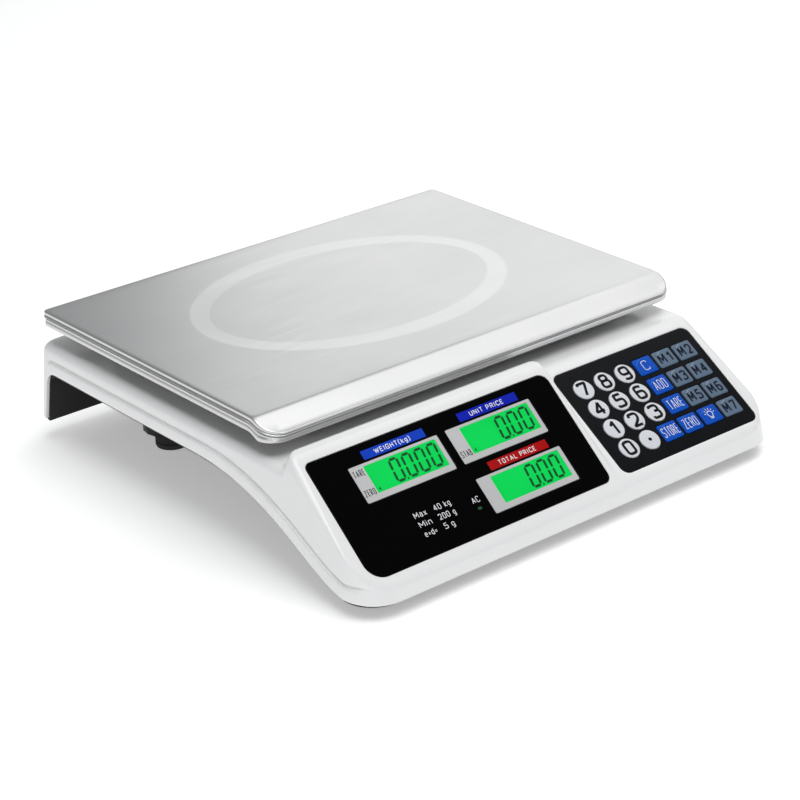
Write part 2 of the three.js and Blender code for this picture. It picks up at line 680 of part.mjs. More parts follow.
function bubbleLevel() {
  const r = LEVEL.radius;
  const low = CASE.deck - 6;
  return turned([[0, low], [r - 1, low], [r, low + 1], [r, CASE.deck + 0.2], [r + 1.5, CASE.deck + 0.4],
    [r + 1.5, CASE.deck + 1.4], [r - 1.5, CASE.deck + 2], [0, CASE.deck + 2.4]], 14);
}

// ---- assembly -----------------------------------------------------------------------------------
const scale = new THREE.Group();
add(scale, 'top_housing', 'white_abs', topHousing());
add(scale, 'bottom_housing', 'black_abs', bottomHousing());
add(scale, 'battery_door', 'black_abs', batteryDoor());
add(scale, 'platter', 'steel_sheet', platter());
add(scale, 'platter_tray', 'tray_plastic', platterTray());
add(scale, 'support_spider', 'cast_aluminium', supportSpider());
add(scale, 'load_cell', 'cell_aluminium', loadCell());
add(scale, 'load_cell_base', 'cast_aluminium', loadCellBase());
add(scale, 'cell_screws', 'zinc_steel', screwPair(-CELL.screwX, CELL.top, 27.5, 3));
add(scale, 'spider_screws', 'zinc_steel', screwPair(CELL.screwX, SPIDER.top, 42, 2));
[-1, 1].flatMap((side) => SPIDER.postY.map((y) => [side * SPIDER.postX, y])).forEach(([x, y], i) => {
  add(scale, `overload_stop_${i + 1}`, 'zinc_steel', overloadStop()).position.set(x, y, TUB_FLOOR + GAP);
});
addDisplay(scale);
addKeypad(scale);
addBackDisplay(scale);
add(scale, 'main_board', 'circuit_board', mainBoard());
add(scale, 'battery', 'battery_case', battery());
add(scale, 'transformer', 'transformer_core', transformer());
add(scale, 'switch_bezel', 'black_abs', switchBezel());
add(scale, 'power_rocker', 'black_abs', powerRocker()).position.set(TUB.halfWidth + 0.5, SWITCH.y, SWITCH.z);
add(scale, 'ac_inlet', 'black_abs', acInlet());
const footPlaces = {
  foot_front_left: [-FRONT_FEET.x, FRONT_FEET.y],
  foot_front_right: [FRONT_FEET.x, FRONT_FEET.y],
  foot_rear_left: [-REAR_FEET.x, REAR_FEET.y],
  foot_rear_right: [REAR_FEET.x, REAR_FEET.y],
};
for (const [name, [x, y]] of Object.entries(footPlaces)) {
  add(scale, name, 'foot_rubber', foot()).position.set(x, y, 0);
}
add(scale, 'bubble_level', 'level_glass', bubbleLevel()).position.set(LEVEL.x, LEVEL.y, 0);

export default scale;
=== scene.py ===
"""The looks of the price-computing counter scale: camera, materials, finely shaped pieces and light.

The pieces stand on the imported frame. Lengths are millimetres, unless a comment says metres, and become metres
where a mesh is made. +X right, +Y back, +Z up.
"""

import json
import math

import bmesh
import bpy
import numpy as np
from mathutils import Matrix, Vector
from mathutils.geometry import delaunay_2d_cdt

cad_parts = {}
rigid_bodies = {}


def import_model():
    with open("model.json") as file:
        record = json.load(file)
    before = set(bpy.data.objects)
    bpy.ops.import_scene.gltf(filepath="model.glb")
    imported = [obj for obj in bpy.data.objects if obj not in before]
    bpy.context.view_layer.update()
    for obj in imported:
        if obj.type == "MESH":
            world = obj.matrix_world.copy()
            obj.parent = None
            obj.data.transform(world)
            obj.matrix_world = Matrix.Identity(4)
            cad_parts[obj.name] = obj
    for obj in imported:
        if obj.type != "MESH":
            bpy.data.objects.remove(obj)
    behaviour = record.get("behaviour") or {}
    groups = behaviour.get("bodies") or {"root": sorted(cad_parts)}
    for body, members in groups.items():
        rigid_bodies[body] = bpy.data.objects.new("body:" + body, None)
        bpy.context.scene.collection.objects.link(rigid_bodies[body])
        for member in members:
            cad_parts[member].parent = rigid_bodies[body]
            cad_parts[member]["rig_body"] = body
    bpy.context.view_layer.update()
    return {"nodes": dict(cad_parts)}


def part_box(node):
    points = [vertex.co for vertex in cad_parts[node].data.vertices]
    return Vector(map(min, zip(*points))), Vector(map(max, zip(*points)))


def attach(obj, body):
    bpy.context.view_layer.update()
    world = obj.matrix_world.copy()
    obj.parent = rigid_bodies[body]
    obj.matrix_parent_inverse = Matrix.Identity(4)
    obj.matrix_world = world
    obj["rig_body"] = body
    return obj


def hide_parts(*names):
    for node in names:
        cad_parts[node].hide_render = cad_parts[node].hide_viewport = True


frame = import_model()
MM = 0.001
GAP = 0.3  # clearance that the frame keeps between neighbouring pieces


def box_mm(node):
    low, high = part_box(node)
    return [c / MM for c in low], [c / MM for c in high]


def add_object(name, data):
    made = bpy.data.objects.new(name, data)
    bpy.context.scene.collection.objects.link(made)
    return made


# ---- camera ----
CAMERA_PLACE = (-911.67, -1129.76, 693.48)
YAW, PITCH, ROLL = 0.6789, 0.4276, -0.035  # radians: right of +Y, downwards, and about the lens axis
LENS, SENSOR = 108, 36


def make_camera():
    forward = Vector((math.sin(YAW) * math.cos(PITCH), math.cos(YAW) * math.cos(PITCH), -math.sin(PITCH)))
    level_right = Vector((math.cos(YAW), -math.sin(YAW), 0))
    level_up = level_right.cross(forward)
    right = level_right * math.cos(ROLL) + level_up * math.sin(ROLL)
    up = right.cross(forward)
    data = bpy.data.cameras.new("camera")
    data.sensor_width = SENSOR
    data.lens = LENS
    data.clip_end = 50
    camera = add_object("camera", data)
    stance = Matrix((right, up, -forward)).transposed().to_4x4()
    stance.translation = Vector(CAMERA_PLACE) * MM
    camera.matrix_world = stance
    bpy.context.scene.camera = camera


make_camera()


# ---- materials ----
class Nodes:
    """A material being built: one Principled shader and the nodes that feed it."""

    def __init__(self, name):
        self.material = bpy.data.materials.new(name)
        self.material.use_nodes = True
        self.tree = self.material.node_tree
        self.shader = self.tree.nodes["Principled BSDF"]
        self.place = self.tree.nodes.new("ShaderNodeTexCoord").outputs["Object"]

    def add(self, kind, inputs=None, **settings):
        node = self.tree.nodes.new("ShaderNode" + kind)
        for key, value in settings.items():
            setattr(node, key, value)
        for key, value in (inputs or {}).items():
            self.feed(node.inputs[key], value)
        return node

    def set(self, **values):
        for key, value in values.items():
            self.feed(self.shader.inputs[key.replace("_", " ")], value)

    def feed(self, socket, value):
        """Links an output to a socket, or sets the socket's own value."""
        if hasattr(value, "is_output"):
            self.tree.links.new(value, socket)
        else:
            socket.default_value = value

    def noise(self, scale, detail=3.0, stretch=None):
        where = self.place
        if stretch:
            where = self.add("Mapping", {"Vector": where, "Scale": stretch}).outputs[0]
        return self.add("TexNoise", {"Vector": where, "Scale": scale, "Detail": detail}).outputs["Fac"]

    def range(self, value, low, high, start=0.3, end=0.7):
        inputs = {"Value": value, "From Min": start, "From Max": end, "To Min": low, "To Max": high}
        return self.add("MapRange", inputs).outputs["Result"]

    def mix(self, factor, a, b):
        ramp = self.add("ValToRGB", {"Fac": factor})
        for i, position, colour in ((0, 0.3, a), (1, 0.7, b)):
            ramp.color_ramp.elements[i].position = position
            ramp.color_ramp.elements[i].color = (*colour, 1)
        return ramp.outputs["Color"]

    def bump(self, height, distance, strength=1.0, normal=None):
        inputs = {"Height": height, "Distance": distance * MM, "Strength": strength}
        if normal:
            inputs["Normal"] = normal
        return self.add("Bump", inputs).outputs["Normal"]


def scaled(colour, by):
    """A colour made lighter or darker."""
    return [min(c * by, 1) for c in colour]


def moulded(name, colour, roughness, shade, grain, specular=0.5, grain_scale=2500, coat=0):
    """Moulded plastic or print: a slow drift of colour and gloss, and a fine spark texture."""
    n = Nodes(name)
    n.set(
        Base_Color=n.mix(n.noise(14, 2), scaled(colour, 1 - shade), scaled(colour, 1 + shade)),
        Roughness=n.range(n.noise(60, 5), roughness * 0.85, roughness * 1.15),
        Normal=n.bump(n.noise(grain_scale, 2), grain),
        Specular_IOR_Level=specular,
        Coat_Weight=coat,
        Coat_Roughness=0.06,
    )
    return n.material


def brushed(name, colour, roughness, stretch, lines=0.12, bump=0.004):
    """Metal with fine lines along the axis where stretch is smallest."""
    n = Nodes(name)
    streak = n.noise(1, 4, stretch)
    n.set(
        Base_Color=n.mix(streak, scaled(colour, 1 - lines * 0.5), scaled(colour, 1 + lines * 0.3)),
        Metallic=1.0,
        Roughness=n.range(streak, roughness * (1 - lines), roughness * (1 + lines)),
        Normal=n.bump(streak, bump, normal=n.bump(n.noise(9, 3), 0.02, 0.15)),
    )
    return n.material


def cast(name, colour, roughness):
    """Die cast or rough metal: small pits and a cloudy surface."""
    n = Nodes(name)
    pits = n.noise(900, 6)
    n.set(
        Base_Color=n.mix(n.noise(70, 5), scaled(colour, 0.85), colour),
        Metallic=1.0,
        Roughness=n.range(pits, roughness * 0.8, roughness * 1.2),
        Normal=n.bump(pits, 0.06),
    )
    return n.material


def rubber(name):
    n = Nodes(name)
    dust = n.noise(450, 6)
    n.set(
        Base_Color=n.mix(dust, (0.008, 0.008, 0.008), (0.025, 0.025, 0.026)),
        Roughness=n.range(dust, 0.62, 0.85),
        Normal=n.bump(n.noise(1800, 3), 0.03),
    )
    return n.material


def circuit(name):
    """Solder mask over copper tracks: an angular cell pattern makes the tracks."""
    n = Nodes(name)
    cells = n.add("TexVoronoi", {"Vector": n.place, "Scale": 260.0}, distance="MANHATTAN", feature="F1")
    tracks = n.range(cells.outputs["Distance"], 0, 1, 0.45, 0.5)
    n.set(
        Base_Color=n.mix(tracks, (0.006, 0.075, 0.025), (0.02, 0.16, 0.05)),
        Roughness=n.range(n.noise(90, 4), 0.28, 0.42),
        Normal=n.bump(tracks, 0.03),
        Coat_Weight=0.3,
    )
    return n.material


def glowing(name, colour, strength, roughness):
    """A backlit screen: even light with a faint unevenness of the diffuser."""
    n = Nodes(name)
    tone = n.mix(n.noise(30, 2), scaled(colour, 0.93), colour)
    n.set(
        Base_Color=tone,
        Emission_Color=tone,
        Emission_Strength=strength,
        Roughness=n.range(n.noise(120, 3), roughness * 0.9, roughness * 1.1),
        Normal=n.bump(n.noise(1500, 2), 0.004),
        Specular_IOR_Level=0.15,
        Coat_Weight=0.08,
        Coat_Roughness=0.08,
    )
    return n.material


def platter_steel(name, centre, outer, inner):
    """Satin stainless sheet with a polished oval band around the centre."""
    n = Nodes(name)
    streak = n.noise(1, 4, (18, 900, 60))
    cloud = n.noise(7, 3)
    rings = []
    for axes in (outer, inner):
        squeeze = (1 / (axes[0] * MM), 1 / (axes[1] * MM), 0)
        shift = (-centre[0] / axes[0], -centre[1] / axes[1], 0)
        flat = n.add("Mapping", {"Vector": n.place, "Scale": squeeze, "Location": shift}).outputs[0]
        radius = n.add("VectorMath", {0: flat}, operation="LENGTH").outputs["Value"]
        rings.append(n.range(radius, 1, 0, 0.992, 1.008))
    band = n.add("Math", {0: rings[0], 1: rings[1]}, operation="SUBTRACT").outputs[0]
    sheen = n.range(streak, 0.30, 0.37)
    gloss = n.add("Math", {0: band, 1: -0.02}, operation="MULTIPLY").outputs[0]
    steel = n.mix(cloud, (0.62, 0.62, 0.62), (0.67, 0.67, 0.665))
    polished = n.add("MixRGB", {"Fac": band, "Color1": steel, "Color2": (0.70, 0.70, 0.70, 1)}).outputs["Color"]
    n.set(
        Base_Color=polished,
        Metallic=1.0,
        Roughness=n.add("Math", {0: sheen, 1: gloss}, operation="ADD").outputs[0],
        Normal=n.bump(streak, 0.002),
    )
    return n.material


OVAL = {"centre": (0, 48.3), "outer": (116.8, 86.3), "inner": (104.3, 71.0)}
# Colour, roughness, drift of the colour, depth of the grain, then specular level, scale of the grain, and coat.
MOULDED = {
    "white_abs": ((0.90, 0.90, 0.90), 0.22, 0.012, 0.004, 0.5, 1500, 0.25),
    "black_abs": ((0.006, 0.006, 0.007), 0.42, 0.15, 0.02, 0.25),
    "tray_plastic": ((0.16, 0.162, 0.165), 0.42, 0.06, 0.02),
    "black_panel": ((0.0006, 0.0006, 0.0008), 0.12, 0.2, 0.002, 0.06, 400),
    "keypad_film": ((0.0016, 0.002, 0.0036), 0.27, 0.2, 0.008, 0.1, 3000),
    "lcd_frame": ((0.56, 0.56, 0.565), 0.4, 0.04, 0.006, 0.5, 1800),
    "lcd_ink": ((0.0, 0.075, 0.02), 0.4, 0.1, 0.002, 0.2),
    "key_white": ((0.70, 0.72, 0.76), 0.28, 0.03, 0.006, 0.5, 1800, 0.2),
    "key_blue": ((0.001, 0.078, 0.50), 0.3, 0.08, 0.006, 0.12, 1800),
    "key_slate": ((0.105, 0.16, 0.235), 0.3, 0.08, 0.006, 0.3, 1800),
    "white_ink": ((0.85, 0.86, 0.88), 0.45, 0.04, 0.003),
    "black_ink": ((0.002, 0.002, 0.003), 0.45, 0.1, 0.003, 0.15),
    "grey_ink": ((0.018, 0.018, 0.018), 0.45, 0.1, 0.003),
    "blue_ink": ((0.001, 0.045, 0.50), 0.35, 0.05, 0.003, 0.15),
    "deep_blue_ink": ((0.001, 0.012, 0.42), 0.35, 0.05, 0.003, 0.15),
    "navy_ink": ((0.002, 0.005, 0.018), 0.4, 0.1, 0.003, 0.15),
    # The next two are lighter colours for the arcs on the keys: painted highlights.
    "slate_painted_highlight": ((0.42, 0.50, 0.58), 0.35, 0.04, 0.003),
    "blue_painted_highlight": ((0.03, 0.2, 0.72), 0.35, 0.04, 0.003),
    "red_ink": ((0.42, 0.001, 0.002), 0.35, 0.05, 0.003, 0.15),
    "battery_case": ((0.02, 0.021, 0.024), 0.5, 0.12, 0.03),
    "level_glass": ((0.35, 0.62, 0.03), 0.08, 0.05, 0.001, 0.5, 300, 0.8),
}
LOOK = {
    **{name: moulded(name, *row) for name, row in MOULDED.items()},
    "steel_sheet": platter_steel("steel_sheet", **OVAL),
    "lcd_glass": glowing("lcd_glass", (0.0, 0.58, 0.08), 0.3, 0.25),
    "led_lens": glowing("led_lens", (0.002, 0.08, 0.02), 0.2, 0.2),
    "circuit_board": circuit("circuit_board"),
    "cell_aluminium": brushed("cell_aluminium", (0.72, 0.73, 0.74), 0.32, (1500, 30, 1500)),
    "zinc_steel": brushed("zinc_steel", (0.70, 0.72, 0.74), 0.22, (300, 300, 1200), 0.1, 0.002),
    "cast_aluminium": cast("cast_aluminium", (0.50, 0.51, 0.52), 0.5),
    "transformer_core": cast("transformer_core", (0.20, 0.15, 0.11), 0.55),
    "foot_rubber": rubber("foot_rubber"),
}


# ---- mesh building ----
class Plane:
    """A flat face of the scale: x along it, s up it and n out of it.

    window is the left, low, right and high edge of the window that lies in it.
    """

    def __init__(self, origin, across, up, window=None):
        self.origin, self.across, self.up = Vector(origin), Vector(across), Vector(up)
        self.out = self.across.cross(self.up)
        self.window = window

    def at(self, x, s, n=0.0):
        return self.origin + self.across * x + self.up * s + self.out * n

    def height(self, y):
        return self.origin.z + (y - self.origin.y) * self.up.z / self.up.y


TABLE = Plane((0, 0, 0), (1, 0, 0), (0, 1, 0))


def turn(degrees):
    """The cosine and sine of an angle."""
    return math.cos(math.radians(degrees)), math.sin(math.radians(degrees))


class Shape:
    """Vertices and faces of one piece, in millimetres. A ring is a closed row of vertex numbers."""

    def __init__(self):
        self.points, self.faces = [], []

    def ring(self, points):
        first = len(self.points)
        self.points.extend(points)
        return list(range(first, len(self.points)))

    def rings(self, plane, edge, levels):
        """Rings of an outline() that grows or shrinks with height: each level is (height, growth)."""
        return [self.ring([plane.at(x, s, n) for x, s in grown(edge, growth)]) for n, growth in levels]

    def flat(self, ring):
        return [(self.points[i].x, self.points[i].y) for i in ring]

    def skin(self, rings):
        """Side faces from each ring to the next."""
        for a, b in zip(rings, rings[1:]):
            for i in range(len(a)):
                j = (i + 1) % len(a)
                self.faces.append((a[i], a[j], b[j], b[i]))

    def wall(self, columns):
        """A wall from upright columns of points; gives its rows."""
        rows = [self.ring(row) for row in zip(*columns)]
        self.skin(rows)
        return rows

    def close(self, rings):
        """Side faces over the rings, and a cap on the first and the last."""
        self.skin(rings)
        self.faces += [tuple(reversed(rings[0])), tuple(rings[-1])]

    def stack(self, plane, edge, levels):
        """A solid over rings()."""
        self.close(self.rings(plane, edge, levels))

    def prism(self, plane, corners, low, high):
        """A flat plate between two heights on a plane, from (x, s) corners."""
        self.close([self.ring([plane.at(x, s, n) for x, s in corners]) for n in (low, high)])


def build(name, shape, body, look, replaces=(), sharp=35, outward=True):
    """Makes the piece from a Shape, and rides it on a body."""
    mesh = bpy.data.meshes.new(name)
    mesh.from_pydata([tuple(c * MM for c in p) for p in shape.points], [], shape.faces)
    if outward:
        bm = bmesh.new()
        bm.from_mesh(mesh)
        bmesh.ops.recalc_face_normals(bm, faces=bm.faces)
        bm.to_mesh(mesh)
        bm.free()
    return dress(add_object(name, mesh), body, look, replaces, sharp)


def dress(piece, body, look, replaces=(), sharp=35):
    piece.data.materials.clear()
    piece.data.materials.append(LOOK[look])
    smooth(piece.data, sharp)
    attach(piece, body)
    if replaces:
        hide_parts(*replaces)
    return piece


def smooth(mesh, degrees):
    mesh.polygons.foreach_set("use_smooth", [True] * len(mesh.polygons))
    mesh.set_sharp_from_angle(angle=math.radians(degrees))


def bake(piece):
    """Turns a piece's modifiers into plain mesh."""
    graph = bpy.context.evaluated_depsgraph_get()
    mesh = bpy.data.meshes.new_from_object(piece.evaluated_get(graph))
    piece.modifiers.clear()
    piece.data = mesh


def outline(left, low, right, high, radii, arc=8, step=None):
    """A rounded rectangle as (x, y, normal x, normal y), counter-clockwise from the low right corner.

    radii are for low right, high right, high left and low left; step adds points along the straight sides.
    """
    corners = [(right, low), (right, high), (left, high), (left, low)]
    inward = [(-1, 1), (-1, -1), (1, -1), (1, 1)]
    points = []
    for k, ((cx, cy), (ix, iy), r) in enumerate(zip(corners, inward, radii)):
        for a in range(arc + 1):
            angle = math.pi / 2 * (k - 1 + a / arc)
            nx, ny = math.cos(angle), math.sin(angle)
            points.append((cx + ix * r + nx * r, cy + iy * r + ny * r, nx, ny))
    if not step:
        return points
    full = []
    for p, q in zip(points, points[1:] + points[:1]):
        full.append(p)
        length = math.hypot(q[0] - p[0], q[1] - p[1])
        if abs(p[2] - q[2]) + abs(p[3] - q[3]) < 1e-6:
            count = int(length // step)
            for i in range(1, count):
                t = i / count
                full.append((p[0] + (q[0] - p[0]) * t, p[1] + (q[1] - p[1]) * t, p[2], p[3]))
    return full


def grown(points, amount):
    return [(x + nx * amount, y + ny * amount) for x, y, nx, ny in points]


def widened(box, by):
    left, low, right, high = box
    return left - by, low - by, right + by, high + by

def inside(polygon, points):
    """Which of the points lie in the polygon (even-odd)."""
    hit = np.zeros(len(points), bool)
    x, y = points[:, 0], points[:, 1]
    for (x0, y0), (x1, y1) in zip(polygon, np.roll(polygon, -1, axis=0)):
        if y0 != y1:
            hit ^= ((y0 > y) != (y1 > y)) & (x < x0 + (y - y0) * (x1 - x0) / (y1 - y0))
    return hit


def near(polygon, points, reach):
    """Which of the points lie within reach of the polygon's line."""
    hit = np.zeros(len(points), bool)
    for start, end in zip(polygon, np.roll(polygon, -1, axis=0)):
        along = end - start
        t = np.clip((points - start) @ along / max(along @ along, 1e-9), 0, 1)
        hit |= np.linalg.norm(points - start - t[:, None] * along, axis=1) < reach
    return hit


def fill(shape, border, holes, points, place, clear=0.7):
    """Triangulates between the border and the hole rings through free points.

    border and each hole are (vertex numbers, flat coordinates); place turns flat coordinates into a vertex.
    """
    polygons = [np.array(flat, float) for _, flat in [border, *holes]]
    coords = [Vector(p) for polygon in polygons for p in polygon]
    known = [i for ring, _ in [border, *holes] for i in ring]
    edges, first = [], 0
    for polygon in polygons:
        count = len(polygon)
        edges.extend((first + i, first + (i + 1) % count) for i in range(count))
        first += count
    if points:
        free = np.array(points, float)
        free = free[inside(polygons[0], free) & ~near(polygons[0], free, clear)]
        for hole in polygons[1:]:
            free = free[~inside(hole, free) & ~near(hole, free, clear)]
        coords.extend(Vector(p) for p in free)
    out, _, faces, source, _, _ = delaunay_2d_cdt(coords, edges, [], 0, 1e-5)
    index = []
    for spot, origins in zip(out, source):
        old = next((known[i] for i in origins if i < len(known)), None)
        index.append(shape.ring([place(spot.x, spot.y)])[0] if old is None else old)
    middles = np.array([[sum(out[i][k] for i in face) / 3 for k in (0, 1)] for face in faces])
    keep = inside(polygons[0], middles)
    for hole in polygons[1:]:
        keep &= ~inside(hole, middles)
    shape.faces.extend(tuple(index[i] for i in face) for face, kept in zip(faces, keep) if kept)


def spread(low, high, step):
    count = max(1, round((high - low) / step))
    return [low + (high - low) * i / count for i in range(count + 1)]


def lattice(xs, ys):
    return [(x, y) for x in xs for y in ys]


def share(t):
    return max(0.0, min(1.0, t))


def smooth_step(t):
    t = share(t)
    return t * t * (3 - 2 * t)


def smooth_min(a, b, width):
    h = max(width - abs(a - b), 0) / width
    return min(a, b) - h * h * width / 4


def plate(plane, outer, holes, low, high, bevel):
    """A flat plate with holes on a plane, its upper edges bevelled; outer and holes come from outline()."""
    shape = Shape()
    tops, bottoms = [], []
    for points, sign in [(outer, -1), *[(hole, 1) for hole in holes]]:
        soft = sign * bevel
        levels = [(high, soft), (high - bevel * 0.3, soft * 0.3), (high - bevel, 0), (low, 0)]
        rings = shape.rings(plane, points, levels)
        shape.skin(rings)
        tops.append((rings[0], grown(points, soft)))
        bottoms.append((rings[-1], grown(points, 0)))
    for layer, n in ((tops, high), (bottoms, low)):
        fill(shape, layer[0], layer[1:], [], lambda x, s, n=n: plane.at(x, s, n))
    return shape


def turned(profile, centre, sides, ripple=None):
    """A body turned about a vertical line, from (radius, height) pairs that start and end on the axis."""
    shape = Shape()
    rings = []
    for r, h in profile:
        r = max(r, 0.01)
        loop = []
        for i in range(sides):
            a = 2 * math.pi * i / sides
            reach = r + (ripple(a, r, h) if ripple else 0)
            loop.append(Vector((centre[0] + reach * math.cos(a), centre[1] + reach * math.sin(a), h)))
        rings.append(shape.ring(loop))
    shape.close(rings)
    return shape


def refined(node, look, width, segments=2, angle=30):
    """A frame node's own shape with its edges rounded."""
    source = frame["nodes"][node]
    mesh = source.data.copy()
    bm = bmesh.new()
    bm.from_mesh(mesh)
    bmesh.ops.remove_doubles(bm, verts=bm.verts, dist=1e-6)
    bmesh.ops.dissolve_limit(bm, angle_limit=math.radians(2), verts=bm.verts, edges=bm.edges)
    bm.to_mesh(mesh)
    bm.free()
    piece = add_object(node + "_shape", mesh)
    bevel = piece.modifiers.new("round", "BEVEL")
    bevel.width = width * MM
    bevel.segments = segments
    bevel.limit_method = "ANGLE"
    bevel.angle_limit = math.radians(angle)
    bevel.use_clamp_overlap = True
    bevel.harden_normals = True
    bake(piece)
    return dress(piece, source["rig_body"], look, [node], sharp=40)


# ---- lettering ----
# A character is its width and then its strokes, in hundredths of its height. A stroke is its points, and the
# word loop if it closes. A point may end with the radius of its corner; the others have the wide radius ROUND.
ROUND, CRISP = 0.24, 0.04
GLYPHS = {
    "0": "60; 0,0 60,0 60,100 0,100 loop",
    "1": "40; 2,72 34,100,4 34,0",
    "2": "60; 0,76 0,100 60,100 60,52 2,0,4 64,0",
    "3": "60; 0,84 0,100 58,100 58,54,20 24,54; 24,54 60,54,20 60,0 0,0 0,18",
    "4": "66; 48,100,4 0,28,4 68,28; 48,100 48,0",
    "5": "60; 56,100 6,100,4 3,58,4 60,58 60,0 0,0 0,16",
    "6": "60; 54,92 40,100 0,100 0,0 60,0 60,58 4,58",
    "7": "60; 0,84 0,100,4 60,100,10 22,0",
    "8": "60; 4,54 56,54 56,100 4,100 loop; 0,0 60,0 60,54 0,54 loop",
    "9": "60; 6,8 20,0 60,0 60,100 0,100 0,42 56,42",
    "A": "64; 0,0 32,100,4 64,0; 13,32 51,32",
    "B": "56; 0,0,4 56,0 56,54 0,54,4 loop; 0,54,4 52,54 52,100 0,100,4 loop",
    "C": "58; 58,78 58,100 0,100 0,0 58,0 58,22",
    "D": "58; 0,0,4 58,0 58,100 0,100,4 loop",
    "E": "50; 50,100 0,100,4 0,0,4 50,0; 0,52 44,52",
    "G": "58; 58,80 58,100 0,100 0,0 58,0 58,48,4 34,48",
    "H": "56; 0,0 0,100; 56,0 56,100; 0,52 56,52",
    "I": "8; 4,0 4,100",
    "L": "48; 0,100 0,0,4 48,0",
    "M": "74; 0,0 0,100,4 37,30,4 74,100,4 74,0",
    "N": "58; 0,0 0,100,4 58,0,4 58,100",
    "O": "60; 0,0 60,0 60,100 0,100 loop",
    "P": "54; 0,0 0,100,4 54,100 54,46 0,46",
    "R": "56; 0,0 0,100,4 54,100 54,48 0,48; 26,48 58,0",
    "S": "56; 56,84 56,100 0,100 0,52 56,48 56,0 0,0 0,16",
    "T": "56; 0,100 56,100; 28,100 28,0",
    "U": "58; 0,100 0,0 58,0 58,100",
    "W": "86; 0,100 22,0,4 43,90,4 64,0,4 86,100",
    "Z": "56; 0,100 56,100,4 0,0,4 56,0",
    "a": "44; 4,70 44,70 44,0; 44,42 0,42 0,0 44,0",
    "d": "46; 46,100 46,0,4 0,0 0,70 46,70",
    "e": "46; 44,0 0,0 0,70 46,70 46,36,4 0,36",
    "g": "46; 46,6 0,6 0,70 46,70,4 46,-28 4,-28",
    "i": "8; 4,0 4,70; 4,88 4,100",
    "k": "44; 0,0 0,100; 42,70 2,30,4 46,0",
    "n": "44; 0,0 0,70; 0,60 10,70 44,70 44,0",
    "x": "44; 0,0 44,70; 0,70 44,0",
    "=": "40; 0,26 40,26; 0,50 40,50",
    "(": "20; 20,108 0,80 0,10 20,-18",
    ")": "20; 0,108 20,80 20,10 0,-18",
    " ": "20",
}
INK = 0.04  # print stands this far above what it is printed on
LETTER_GAP = 0.3  # clear space between letters, as a share of one letter's length


def glyph(character):
    """A character's width and its strokes, each as (points, whether it closes)."""
    width, *strokes = GLYPHS[character].split("; ")
    read = []
    for stroke in strokes:
        closed = stroke.endswith(" loop")
        words = stroke.removesuffix(" loop").split()
        read.append(([tuple(int(n) / 100 for n in word.split(",")) for word in words], closed))
    return int(width) / 100, read


def rounded_path(points, closed, steps=5):
    """A stroke's points with each corner turned into an arc."""
    count = len(points)
    path = []
    for i, (x, y, *radius) in enumerate(points):
        here = Vector((x, y))
        if not closed and i in (0, count - 1):
            path.append(here)
            continue
        before, after = Vector(points[i - 1][:2]) - here, Vector(points[(i + 1) % count][:2]) - here
        reach = min(radius[0] if radius else ROUND, before.length / 2, after.length / 2)
        a, b = here + before.normalized() * reach, here + after.normalized() * reach
        turns = steps if reach > CRISP else 1
        path.extend(a.lerp(here, k / turns).lerp(here.lerp(b, k / turns), k / turns) for k in range(turns + 1))
    return path


def add_stroke(shape, face, path, closed, width, level):
    """A flat raised line of even width along a path of (x, s) points."""
    points = [Vector(p) for p in path]
    count = len(points)
    left, right = [], []
    for i, p in enumerate(points):
        before = points[i - 1] if closed or i else p
        after = points[(i + 1) % count] if closed or i < count - 1 else p
        a = (p - before).normalized() if (p - before).length > 1e-6 else (after - p).normalized()
        b = (after - p).normalized() if (after - p).length > 1e-6 else a
        middle = (a + b).normalized()
        reach = width / 2 / max(middle.dot(a), 0.6)
        side = Vector((-middle.y, middle.x)) * reach
        left.append(p + side)
        right.append(p - side)
    low_left, low_right, high_left, high_right = [
        shape.ring([face.at(q.x, q.y, n) for q in line])
        for n in (level, level + INK) for line in (left, right)
    ]
    for i in range(count if closed else count - 1):
        j = (i + 1) % count
        shape.faces.append((high_left[i], high_right[i], high_right[j], high_left[j]))
        shape.faces.append((low_left[i], low_left[j], low_right[j], low_right[i]))
        shape.faces.append((high_left[i], high_left[j], low_left[j], low_left[i]))
        shape.faces.append((high_right[i], low_right[i], low_right[j], high_right[j]))
    if not closed:
        for i in (0, count - 1):
            shape.faces.append((low_left[i], high_left[i], high_right[i], low_right[i]))


def add_text(shape, face, text, x, s, height, length, stroke, level):
    """Print of one line, centred on x and s, with a cap height and a whole length."""
    gap = LETTER_GAP * length / len(text) + stroke
    wide = (length - stroke - gap * (len(text) - 1)) / sum(glyph(c)[0] for c in text)
    tall = height - stroke
    left = x - (length - stroke) / 2
    for c in text:
        width, strokes = glyph(c)
        for points, closed in strokes:
            path = rounded_path(points, closed)
            placed = [(left + p.x * wide, s - tall / 2 + p.y * tall) for p in path]
            add_stroke(shape, face, placed, closed, stroke, level)
        left += width * wide + gap


def lettering(name, face, items, body, look, level=0.0):
    """Raised print: each item is (text, x, s, cap height, length, stroke width)."""
    shape = Shape()
    for item in items:
        add_text(shape, face, *item, level)
    build(name, shape, body, look, sharp=30)


# ---- where things are, read from the frame ----
WINDOW = 1.5  # thickness of the display window and the keypad film


def sloping_face(node, degrees):
    """The plane of a front window: x as in the frame, s from the low edge of its pocket, n out of its face."""
    (x0, y0, _), (x1, y1, z1) = box_mm(node)
    c, k = turn(degrees)
    y = y0 - GAP * c
    length = (y1 - y - WINDOW * k) / c + GAP
    return Plane((0, y, z1 - (length - GAP) * k), (1, 0, 0), (0, c, k), (x0, GAP, x1, length - GAP))


